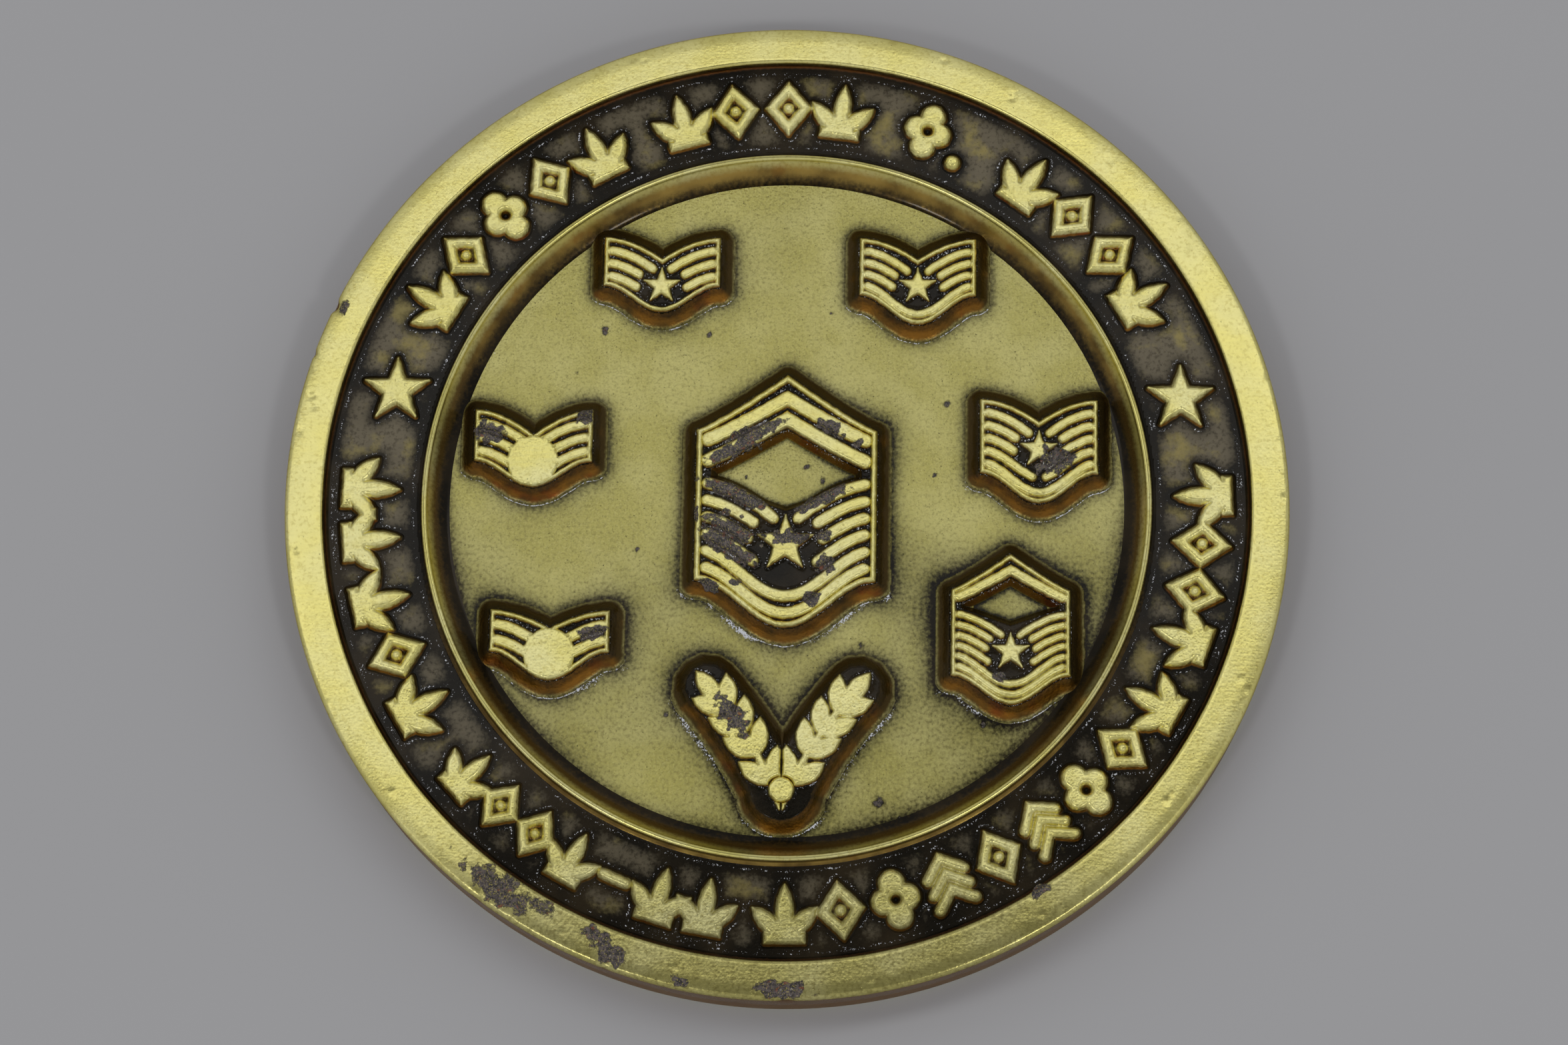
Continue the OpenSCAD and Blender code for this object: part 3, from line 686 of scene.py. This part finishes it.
def brass(
    name, tones, roughness, coat, ambers=AMBERS, brushed=0.0, grain=0.0, mottled=0.0, glaze=0.0, pitted=0.0
):
    """Antiqued brass: bright, amber and dark by the piece's masks, with tarnish, grain, pits and painted
    glints; the walls' amber and dark brown are painted light and shade by side.
    """
    tree = Tree(name)
    tree.cloud = tree.noise(2.6, detail=4, offset=7)
    tree.fine = tree.noise(0.16, detail=3, offset=3)
    tree.speck = tree.noise(0.075, detail=2, roughness=0.6, offset=11)
    tree.streak = tree.noise(0.09, detail=4, roughness=0.65, stretch=(0.09, 1, 0.5), offset=5)
    wash, slope, tarnish, glint_line = tree.masks()
    dark, pit = stained(tree, wash), pits(tree, pitted)
    rot, glint_share = tarnished(tree, tarnish), painted_glints(tree, glint_line)
    colour = lit_by_side(tree, worn_base(tree, tones, brushed, grain, mottled), slope, ambers)
    colour = tree.blend(dark, colour, tree.blend(tree.step(tree.cloud, 0.4, 0.7), WASH, WASH_BROWN))
    colour = tree.blend(tree.times(pit, 0.75), colour, WASH_BROWN)
    colour = tree.blend(rot, colour, crust(tree, tones[2]))
    # Painted glints: pale colour, not metal
    colour = tree.blend(glint_share, colour, GLINT_WHITE)
    metal = tree.math("MULTIPLY_ADD", dark, -0.85, 1.0)
    metal = tree.times(metal, tree.math("SUBTRACT", 1.0, glint_share))
    metal = tree.math("MULTIPLY", metal, tree.math("MULTIPLY_ADD", rot, -0.75, 1.0), clamp=True)
    rough = tree.jitter(tree.streak, 0.35 * max(brushed, 0.25), roughness)
    rough = tree.jitter(tree.cloud, 0.16, rough)
    rough = tree.math("MULTIPLY_ADD", dark, -0.12, rough)
    rough = tree.math("MULTIPLY_ADD", rot, 0.3, rough, clamp=True)
    inputs = tree.shader.inputs
    tree.put(inputs["Base Color"], colour)
    tree.put(inputs["Metallic"], metal)
    tree.put(inputs["Roughness"], rough)
    tree.put(inputs["Normal"], surface(tree, brushed, grain, glaze, dark, pit, rot))
    inputs["Coat Weight"].default_value = coat
    inputs["Coat Roughness"].default_value = 0.09
    inputs["Coat IOR"].default_value = 1.5
    inputs["Specular IOR Level"].default_value = 0.08
    inputs["Specular Tint"].default_value = TINT
    return tree.material


TOPS = (BRIGHT, BRIGHT_PALE, BRIGHT_DEEP)
FIELD_TONES = (FIELD, FIELD_PALE, FIELD_DEEP)
BAND_TONES = (FLOOR_GREY, FLOOR_GREY, WASH_BROWN)
RIM_TOPS = ((0.72, 0.65, 0.21), (0.8, 0.74, 0.3), (0.54, 0.46, 0.13))
# As with the walls' amber, the last tone of the cove and edge sets is painted shade where they face away
# from the near side
COVE = ((0.45, 0.3, 0.07), (0.36, 0.2, 0.04), (0.14, 0.084, 0.02))
EDGE_BROWN = ((0.2, 0.082, 0.028), (0.17, 0.062, 0.02), (0.15, 0.07, 0.024))
MATERIALS = {
    "core_brass": brass("core_brass", TOPS, 0.4, 0.1),
    "rim_brass": brass("rim_brass", RIM_TOPS, 0.32, 0.1, EDGE_BROWN, brushed=0.35, grain=0.2),
    "ring_brass": brass("ring_brass", TOPS, 0.33, 0.14, COVE, brushed=0.3),
    "band_floor": brass("band_floor", BAND_TONES, 0.46, 0.14, mottled=0.7, glaze=1.0),
    "field_brass": brass("field_brass", FIELD_TONES, 0.47, 0.12, grain=1.6, pitted=1.0),
    "pedestal_brass": brass("pedestal_brass", FIELD_TONES, 0.36, 0.14, grain=0.4, glaze=1.0),
    "relief_brass": brass("relief_brass", TOPS, 0.36, 0.16, brushed=0.7, grain=0.45, pitted=0.5),
}


# ---- the coin's regions ----


RELIEF_REACH = 1.2  # how far distances to a relief's outline are measured
WALL_REACH = 1.6
FIELD_REACH = 2.2
DEVICE_REACH = 0.8
CURB = 0.03  # height of the step round a pedestal's top, as a share
WALL_POWER = 1.4
OPENING_POWER = 1.3
COVE_POWER = 1.7
RIM_POWER = 1.6


def unshared(loops, others):
    """The loops' edges as point pairs, without those that lie along another relief's outline."""
    if not others:
        return None
    start = np.concatenate(others)
    step = np.concatenate([np.roll(p, -1, axis=0) for p in others]) - start
    length = np.maximum((step**2).sum(1), 1e-12)

    def on_seam(point):
        t = np.clip(((point - start) * step).sum(1) / length, 0, 1)
        return np.hypot(*(start + t[:, None] * step - point).T).min() < SEAM

    kept = []
    for loop in loops:
        known = [on_seam(p) for p in loop]
        kept += [(loop[k - 1], loop[k]) for k in range(len(loop)) if not (known[k - 1] and known[k])]
    return kept


def family(node):
    """The name of the plate that a node belongs to."""
    return node.rsplit("_", 1)[0] if not node.startswith("spray") else "spray"


def around(loops, draft, step):
    """A grid over the loops and the walls round them."""
    margin = draft + RELIEF_MARGIN
    points = np.concatenate(loops)
    return Grid(points.min(0) - margin, points.max(0) + margin, step)


def make_relief(node, floor, draft, shoulder, slot, top=True, round_top=0.0):
    """A device with a flat top, a rounded shoulder and drafted sides that run out on the floor."""
    loops = cap_loops(node, top)
    low, high = box_mm(node)
    rise = high[2] - low[2]
    grid = around(loops, draft, RELIEF_STEP if top else REVERSE_STEP)
    own = grid.distance(loops, RELIEF_REACH)
    inner = own
    others = [p for n in ON_PLATES if n != node and family(n) == family(node) for p in cap_loops(n)]
    open_edges = unshared(loops, others)
    if open_edges is not None and len(open_edges) < sum(len(p) for p in loops):
        inner = grid.distance(loops + others, RELIEF_REACH, open_edges + unshared(others, loops))
    joined = inner > own + 0.001
    inner = inner + EDGE_WAVER * blotches(grid.x, grid.y, 0.5, SEED + 5)
    share = smooth((inner + draft) / (draft + shoulder))
    if round_top:
        dome = np.sqrt(np.clip(1 - (1 - np.clip(inner / round_top, 0, 1)) ** 2, 0, 1))
        share = share * (0.55 + 0.45 * dome)
    height = rise * share - BURY * smooth(-(inner + draft * 0.82) / (draft * 0.3))
    height += TOP_WAVER * smooth(inner / 0.2) * blotches(grid.x, grid.y, 1.3, SEED + 6)
    height -= SEAM_STEP * (joined & (own < 0))
    keep = (inner > -draft * 1.1) & (~joined | (own > -OVERLAP))
    slope = smooth((-inner + 0.02) / (draft * 0.6)) * (1 if draft > STRIPE_DRAFT else 0.75)
    wash = smooth((-inner - draft * 0.3) / (draft * 0.45))
    # Painted shade on the near side of the ornament
    if draft == LEGEND_DRAFT and top:
        wash = np.maximum(wash, 0.9 * NEAR_SIDE_SHADE * smooth((-11 - grid.y) / 8))
    tarnish = tarnish_at(grid.x, grid.y) if top else np.zeros_like(grid.x)
    # Painted glints on the stripes' lower sides
    glint_line = (GLINT if draft == STRIPE_DRAFT else 0) * line_at(inner, -draft * 0.8, 0.035)
    sign = 1 if top else -1
    base = floor - sign * (BURY + UNDERSIDE)
    masks = (wash, slope, tarnish, glint_line)
    return struck(node, grid, floor + sign * height, keep, base, masks, slot, sign)


def make_pedestal(node):
    """A plate's pedestal: hollow walls, wash round its devices, painted glints along them and a lacquer
    lip with a painted highlight at its near foot.
    """
    loops = cap_loops(node)
    outer = [p for p in loops if area(p) > 0]
    holes = [p for p in loops if area(p) < 0]
    rise = PLATE_Z - FIELD_Z
    grid = around(outer, PEDESTAL_DRAFT, PEDESTAL_STEP)
    drawn = grid.distance(outer, WALL_REACH)
    inner = drawn + EDGE_WAVER * blotches(grid.x, grid.y, 0.9, SEED + 7) * (drawn < 0)
    share = np.clip((inner + PEDESTAL_DRAFT) / PEDESTAL_DRAFT, 0, 1) ** WALL_POWER
    curbed = share * (1 - CURB) + CURB * smooth(np.maximum(inner, 0) / PEDESTAL_SHOULDER)
    share = np.where(inner > -0.08, curbed, share)
    raised = [n for n in ON_PLATES if family(n) == family(node)]
    foot = np.max([grid.distance(cap_loops(n), DEVICE_REACH) for n in raised], axis=0)
    crawl = fade(-foot - STRIPE_DRAFT * 0.6, MENISCUS) * (inner > 0)
    wash, slope = foot_masks(-inner - PEDESTAL_DRAFT)
    # More wash on the upper wall, and on walls that face +Y as painted shade
    upper = smooth((inner + 0.2) / 0.18)
    away = np.gradient(drawn, grid.step, axis=0)
    wash = np.maximum(wash, 0.4 * upper + 0.35 * smooth(-away) * smooth((0.1 - inner) / 0.1))
    wash = np.maximum(wash, smooth((inner + 0.02) / 0.06))
    if holes:
        hole = grid.distance([p[::-1] for p in holes], WALL_REACH)
        fall = np.clip((OPENING_DRAFT - hole) / OPENING_DRAFT, 0, 1) ** OPENING_POWER
        share = np.where(hole > 0, fall, share)
        inside = 0.5 * smooth(hole / 0.1) * smooth((OPENING_DRAFT * 1.1 - hole) / 0.12)
        wash = np.where(hole > 0, inside, wash)
        slope = np.where(hole > 0, smooth((OPENING_DRAFT - hole) / 0.1), slope)
    height = rise * share + MENISCUS_H * crawl * (1 + 0.5 * blotches(grid.x, grid.y, 0.22, SEED + 8))
    out = -inner - PEDESTAL_DRAFT
    south = smooth(-1.3 * np.gradient(out, grid.step, axis=0) - 0.15)
    keep = out < 0.02 + (FOOT_LINE - 0.02) * smooth(3 * south)
    height = np.where(out > 0, 0.003 - 0.008 * smooth(out / FOOT_LINE), height)
    if holes:
        keep &= hole < OPENING_DRAFT * 1.04
    # Painted glints along the stripes' feet and a painted highlight line at the near foot
    glint_line = GLINT * line_at(foot, -STRIPE_DRAFT, 0.06) * (inner > 0)
    glint_line += 0.95 * south * line_at(out, 0.06, 0.045)
    base = FIELD_Z - BURY - UNDERSIDE
    masks = (wash, slope, tarnish_at(grid.x, grid.y), glint_line)
    return struck(node, grid, FIELD_Z + height, keep, base, masks, "pedestal_brass")


def foot_masks(out):
    """Dark wash and amber by the distance out from a wall's foot, which is negative on the wall."""
    on_wall, on_floor = np.clip(-out, 0, FAR), np.clip(out, 0, FAR)
    wash = FOOT_WASH * np.where(out > 0, np.exp(-on_floor / HALO), 0.2 + 0.8 * np.exp(-on_wall / 0.12))
    wash = np.maximum(wash, 0.56 * smooth((on_wall - 0.26) / 0.26))
    slope = np.where(out > 0, 0.42 * np.exp(-on_floor / 0.16), 0.42 + 0.58 * smooth(on_wall / 0.3))
    return wash, slope


def make_field():
    """The sunk field, darker in a halo round each pedestal and by the cove, where painted shade varies it
    by side, and darker towards the spray, the lower right and beside the lower right plate, partly dirt
    and partly painted shade.
    """
    reach = FIELD_R + FIELD_OVERLAP
    grid = disc_grid(reach, FIELD_STEP)
    gap = np.full_like(grid.x, -FAR)
    opened = np.zeros_like(grid.x)
    for node in PEDESTALS:
        loops = [p for p in cap_loops(node) if area(p) > 0]
        gap = np.maximum(gap, grid.distance(loops, FIELD_REACH))
        holes = [p[::-1] for p in cap_loops(node) if area(p) < 0]
        if holes:
            inner = grid.distance(holes, FIELD_REACH)
            opened = np.maximum(opened, fade(inner - OPENING_DRAFT, 0.12) * (inner > 0))
    plates = np.where(gap > 0, FAR, -gap - PEDESTAL_DRAFT)
    cove = FIELD_R - grid.r
    north = grid.y / FIELD_R
    wash, slope = foot_masks(plates)
    cove_wash, cove_slope = foot_masks(cove)
    # Painted shade: the cove's halo is faint on the north side and strong elsewhere
    shaded = 0.8 - 0.75 * smooth((north + 0.25) / 0.9) - 0.2 * smooth((-0.45 - north) / 0.4)
    wash, slope = np.maximum(wash, cove_wash * shaded), np.maximum(slope, cove_slope * shaded)
    specks = spots_at(grid.x, grid.y)
    # Darker towards the spray, to the lower right and beside the lower right plate: partly dirt, partly
    # painted shade
    grime_and_shade = GRIME_AND_SHADE * (smooth((6 - grid.y) / 14) + 0.5 * blotches(grid.x, grid.y, 7, SEED + 10))
    grime_and_shade += 0.7 * GRIME_AND_SHADE * smooth((grid.x - grid.y - 12) / 9)
    x, y, radius = DARK_PATCH
    grime_and_shade += 0.85 * GRIME_AND_SHADE * smooth(1.4 - np.hypot(grid.x - x, grid.y - y) / radius)
    wash = np.maximum(wash, FOOT_WASH * opened) + 0.55 * specks + np.clip(grime_and_shade, 0, 1)
    # Painted highlights of the lacquer at the near foot of each plate, most at its corners, and at the
    # cove's far foot
    out = np.minimum(plates, cove)
    rise_y, rise_x = np.gradient(out, grid.step)
    corner = smooth(2.2 * np.abs(rise_x) - 0.4)
    middle = smooth((10.8 - np.hypot(grid.x, grid.y + 5)) / 1.5)
    south = smooth(-1.3 * rise_y - 0.15) * (0.3 + 0.62 * corner) * middle
    far_foot = 0.55 * (cove < 0.22) * smooth((north + 0.2) / 0.5)
    width = 0.2 + 0.26 * corner * middle
    glint_line = np.maximum(south, far_foot) * smooth((out + 0.1) / 0.1) * smooth((width - out) / 0.36)
    height = np.full_like(grid.x, FIELD_Z)
    masks = (wash, slope, specks * 0.66, glint_line)
    return struck("obverse_field", grid, height, grid.r < reach, CORE_TOP, masks, "field_brass")


def make_band():
    """The ornament band's floor: dark wash gathers round the ornament and along both walls."""
    low, high = RING_OUT_R - RING_OVERLAP, RIM_IN_R + FLOOR_OVERLAP
    grid = disc_grid(high, FLOOR_STEP)
    gap = np.full_like(grid.x, -FAR)
    for node in LEGEND:
        gap = np.maximum(gap, grid.distance(cap_loops(node), WALL_REACH))
    to_rim, to_ring = RIM_IN_R - RIM_DRAFT - grid.r, grid.r - RING_OUT_R
    near = fade(-gap - LEGEND_DRAFT * 0.7, 0.3)
    wash = np.clip(1.15 * (near + fade(to_rim, 0.34) + fade(to_ring, 0.32)), 0, 1.05)
    # Painted shade: darker towards the bottom, the near side
    wash += 0.22 * smooth((4 - grid.y) / 24)
    height = np.full_like(grid.x, BAND_Z)
    keep = (grid.r > low) & (grid.r < high)
    zero = np.zeros_like(grid.x)
    # Painted glints along the feet of the ornament and both walls
    glint_line = 0.54 * line_at(np.minimum(-gap - LEGEND_DRAFT, np.minimum(to_rim, to_ring)), 0.06, 0.06)
    return struck("ornament_band", grid, height, keep, CORE_TOP, (wash, zero, zero, glint_line), "band_floor")


def make_rim():
    """Both rims and the edge, with drafted inner walls and the knocks of handling."""
    outer, top = COIN_R - EDGE_ROUND, COIN_H - CROWN_DROP - EDGE_ROUND
    low_top = CROWN_DROP + EDGE_ROUND
    lip, foot = RIM_IN_R + LIP_ROUND, RIM_IN_R - RIM_DRAFT
    flat = outer - CROWN_W
    t = np.linspace(0, 1, 9)[1:-1]
    crown = np.stack([flat + CROWN_W * t, COIN_H - CROWN_DROP * t**2], 1)
    upper = [
        between((COIN_R, low_top), (COIN_R, top), 9),
        arc((outer, top), EDGE_ROUND, 0, 82, 8),
        crown[::-1],
        between((flat, COIN_H), (lip, COIN_H), 9),
        arc((lip, COIN_H - LIP_ROUND), LIP_ROUND, 90, 165, 6),
        wall((RIM_IN_R - 0.02, COIN_H - LIP_ROUND - 0.08), (foot, BAND_Z - BURY), 7),
    ]
    lower = [
        wall((RIM_IN_R - 0.02, LIP_ROUND + 0.08), (foot, REVERSE_Z + BURY), 5)[::-1],
        arc((lip, LIP_ROUND), LIP_ROUND, 195, 270, 6),
        between((lip, 0), (flat, 0), 8)[1:],
        crown * (1, -1) + (0, COIN_H),
        arc((outer, low_top), EDGE_ROUND, 278, 360, 8)[:-1],
    ]
    profile = np.concatenate(upper + lower)
    rng = np.random.default_rng(SEED + 3)
    nicks = []
    for _ in range(SMALL_DENTS):
        side = rng.choice([0.0, COIN_H])
        size = rng.uniform(*SMALL_DENT_SIZE)
        turn, radius = rng.uniform(0, 360), rng.uniform(21.3, 22.2)
        nicks.append((turn, radius, side, size, size * rng.uniform(0.06, 0.2)))

    def masks(v):
        x, y, z = v.T
        r = np.hypot(x, y)
        obverse = z > COIN_H / 2
        inside = smooth((RIM_IN_R + 0.07 - r) / 0.16)
        deep = smooth((RIM_IN_R - 0.03 - r) / 0.14)
        side = smooth((COIN_H - 0.16 - z) / 0.2) * smooth((z - 0.16) / 0.2) * (r > COIN_R - 0.2)
        turn = np.degrees(np.arctan2(y, x)) % 360
        edge = side * (0.92 + 0.1 * blotches(np.radians(turn) * COIN_R, z * 2, 2.6, SEED + 9))
        tarnish = np.zeros(len(v))
        wobble = 0.35 * blotches(x, y, 0.8, SEED + 4)
        for at, radius, long, wide, strength in RIM_TARNISH:
            along = np.radians((turn - at + 180) % 360 - 180) * radius
            spot = smooth(1.4 - np.hypot(along / long, (r - radius) / wide) + wobble)
            tarnish = np.maximum(tarnish, strength * spot * obverse)
        # Painted shade on the near side of the rim
        near_shade = NEAR_SIDE_SHADE * smooth((-0.6 - y / r) / 0.3) * obverse
        return np.stack([np.maximum(deep, near_shade), np.maximum(inside, edge), tarnish], 1)

    return turned("rim", profile, RIM_TURNS, masks, "rim_brass", DENTS + nicks)


def wall(top, foot, steps):
    """A drafted wall from its top to its foot, hollow towards the foot."""
    t = np.linspace(0, 1, steps)
    r = top[0] + (foot[0] - top[0]) * t**RIM_POWER
    z = top[1] + (foot[1] - top[1]) * t
    return np.stack([r, z], 1)


def make_ring():
    """The border ring: a coved inner side, a narrow crest and a short outer slope."""
    crest_in = FIELD_R + COVE_W
    crest_out = RING_OUT_R - RING_SLOPE_W
    foot_in, foot_out = FIELD_R - 0.06, RING_OUT_R + 0.06
    t = np.linspace(0, 1, 22)
    cove_z = FIELD_Z - 0.01 + (CREST_Z - CREST_ROUND - FIELD_Z) * t**COVE_POWER
    crest = [
        np.stack([foot_in + (crest_in - FIELD_R) * t, cove_z], 1),
        arc((crest_in + CREST_ROUND - 0.03, CREST_Z - CREST_ROUND), CREST_ROUND, 165, 90, 7),
        arc((crest_out - CREST_ROUND, CREST_Z - CREST_ROUND), CREST_ROUND, 90, 25, 6),
        wall((crest_out + 0.02, CREST_Z - CREST_ROUND - 0.03), (foot_out, BAND_Z - BURY), 6),
        np.array([[foot_out, CORE_TOP + 0.02], [foot_in, CORE_TOP + 0.02]]),
    ]
    profile = np.concatenate(crest)[::-1]

    def masks(v):
        r = np.hypot(v[:, 0], v[:, 1])
        level = (v[:, 2] - FIELD_Z) / (CREST_Z - FIELD_Z)
        inner = smooth((crest_in + 0.1 - r) / 0.62)
        outer = smooth((r - crest_out + 0.1) / 0.16)
        foot = smooth(1 - level / 0.5) * (r < crest_in)
        north = v[:, 1] / r
        # Painted shade: the cove's wash changes by side round the coin
        shaded = 0.7 * (1 - smooth((north + 0.05) / 0.95)) - 0.3 * smooth((-0.45 - north) / 0.4)
        in_cove = (0.66 - 0.1 * shaded) * foot + (0.06 + 0.5 * shaded) * inner
        # Painted shade: the outer slope darkens towards the north
        on_slope = outer * (0.3 + 0.7 * smooth((north + 0.75) / 0.8))
        wash = np.maximum(in_cove, on_slope)
        return np.stack([wash, np.maximum(inner, outer), np.zeros(len(v))], 1)

    return turned("border_ring", profile, RING_TURNS, masks, "ring_brass")


def make_reverse_field():
    """The reverse's floor, with wash round its devices and along the rim."""
    high = RIM_IN_R + FLOOR_OVERLAP
    grid = disc_grid(high, REVERSE_FLOOR_STEP)
    gap = np.full_like(grid.x, -FAR)
    for node in REVERSE:
        gap = np.maximum(gap, grid.distance(cap_loops(node, False), WALL_REACH))
    near = fade(-gap - LEGEND_DRAFT * 0.7, 0.25)
    halo = np.clip(near + fade(RIM_IN_R - RIM_DRAFT - grid.r, 0.35), 0, 1)
    height = np.full_like(grid.x, REVERSE_Z)
    masks = (0.85 * halo, 0.5 * halo, np.zeros_like(halo))
    return struck("reverse_field", grid, height, grid.r < high, CORE_BOTTOM, masks, "field_brass", sign=-1)


make_rim()
make_ring()
make_field()
make_band()
make_reverse_field()
for node in PEDESTALS:
    make_pedestal(node)
for node in LEGEND:
    make_relief(node, BAND_Z, LEGEND_DRAFT, LEGEND_SHOULDER, "relief_brass")
for node in ON_PLATES:
    make_relief(node, PLATE_Z, STRIPE_DRAFT, STRIPE_SHOULDER, "relief_brass")
for node in REVERSE:
    dome = BEAD_ROUND if node == "reverse_beads" else 0.0
    make_relief(node, REVERSE_Z, LEGEND_DRAFT, LEGEND_SHOULDER, "relief_brass", top=False, round_top=dome)

for material_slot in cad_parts["planchet"].material_slots:
    material_slot.material = MATERIALS["core_brass"]


# ---- studio ----

ELEVATION = math.radians(75.3)
AZIMUTH = math.radians(5.4)
ROLL = math.radians(-4.6)
AIM = Vector((-0.1, -0.7, 1.5)) * MM
DISTANCE = 165.2 * MM
LENS = 85.1
FLOOR_SIZE = 3.0
FLOOR_DROP = 0.02 * MM  # keeps the floor clear of the coin's underside
FLOOR_TINTS = (0.43, 0.43, 0.44), (0.47, 0.47, 0.48)
ROOM, OVERHEAD = (0.52, 0.52, 0.53, 1), (0.07, 0.07, 0.07, 1)
SENSOR_WIDTH = 36
DARK_ZONE = (0.0, -0.1, 0.995)  # the way the dark zone lies from the coin


def toward(azimuth, elevation):
    """The direction from the coin to a place at that azimuth, from the front, and that elevation."""
    level = math.cos(elevation)
    return Vector((math.sin(azimuth) * level, -math.cos(azimuth) * level, math.sin(elevation)))


def make_camera():
    back = toward(AZIMUTH, ELEVATION)
    right = (-back).cross(Vector((0, 0, 1))).normalized()
    up = right.cross(-back)
    turned_right = math.cos(ROLL) * right + math.sin(ROLL) * up
    turned_up = math.cos(ROLL) * up - math.sin(ROLL) * right
    camera = bpy.data.objects.new("camera", bpy.data.cameras.new("camera"))
    camera.data.lens = LENS
    camera.data.sensor_width = SENSOR_WIDTH
    camera.data.clip_start = 0.005
    camera.data.clip_end = 10
    camera.matrix_world = Matrix.Translation(AIM + back * DISTANCE) @ Matrix(
        [[turned_right[k], turned_up[k], back[k]] for k in range(3)]
    ).to_4x4()
    bpy.context.scene.collection.objects.link(camera)
    bpy.context.scene.camera = camera


def make_floor():
    mesh = bpy.data.meshes.new("floor")
    half = FLOOR_SIZE / 2
    corners = [(-half, -half, 0), (half, -half, 0), (half, half, 0), (-half, half, 0)]
    mesh.from_pydata(corners, [], [(0, 1, 2, 3)])
    floor = bpy.data.objects.new("floor", mesh)
    floor.location.z = -FLOOR_DROP
    tree = Tree("floor")
    tint = tree.blend(tree.noise(60, detail=2), *FLOOR_TINTS)
    tree.put(tree.shader.inputs["Base Color"], tint)
    tree.shader.inputs["Roughness"].default_value = 0.55
    mesh.materials.append(tree.material)
    bpy.context.scene.collection.objects.link(floor)


def make_light(name, azimuth, elevation, distance, size, power):
    """A square or oblong soft light that faces the coin, placed by degrees and metres."""
    data = bpy.data.lights.new(name, "AREA")
    data.shape = "RECTANGLE"
    data.size, data.size_y = size
    data.energy = power
    light = bpy.data.objects.new(name, data)
    back = toward(math.radians(azimuth), math.radians(elevation))
    light.location = back * distance
    light.rotation_euler = back.to_track_quat("Z", "Y").to_euler()
    bpy.context.scene.collection.objects.link(light)


def make_world():
    """A pale room that is darker straight overhead, where the photographer leans in."""
    world = bpy.data.worlds.new("studio")
    bpy.context.scene.world = world
    world.use_nodes = True
    nodes, links = world.node_tree.nodes, world.node_tree.links
    coords = nodes.new("ShaderNodeTexCoord")
    near_zone = nodes.new("ShaderNodeVectorMath")
    near_zone.operation = "DOT_PRODUCT"
    near_zone.inputs[1].default_value = DARK_ZONE
    ramp = nodes.new("ShaderNodeValToRGB")
    links.new(coords.outputs["Generated"], near_zone.inputs[0])
    links.new(near_zone.outputs["Value"], ramp.inputs["Fac"])
    links.new(ramp.outputs["Color"], nodes["Background"].inputs["Color"])
    for element, place, colour in zip(ramp.color_ramp.elements, (0.8, 0.985), (ROOM, OVERHEAD)):
        element.position, element.color = place, colour
    nodes["Background"].inputs["Strength"].default_value = 0.9


make_camera()
make_floor()
make_world()
make_light("overhead", 193, 74.2, 0.9, (1.5, 0.16), 1.42)
make_light("front_left", -38, 56, 0.8, (0.09, 0.09), 0.5)
make_light("front_right", 42, 56, 0.8, (0.09, 0.09), 0.5)
bpy.context.scene.view_settings.view_transform = "Standard"
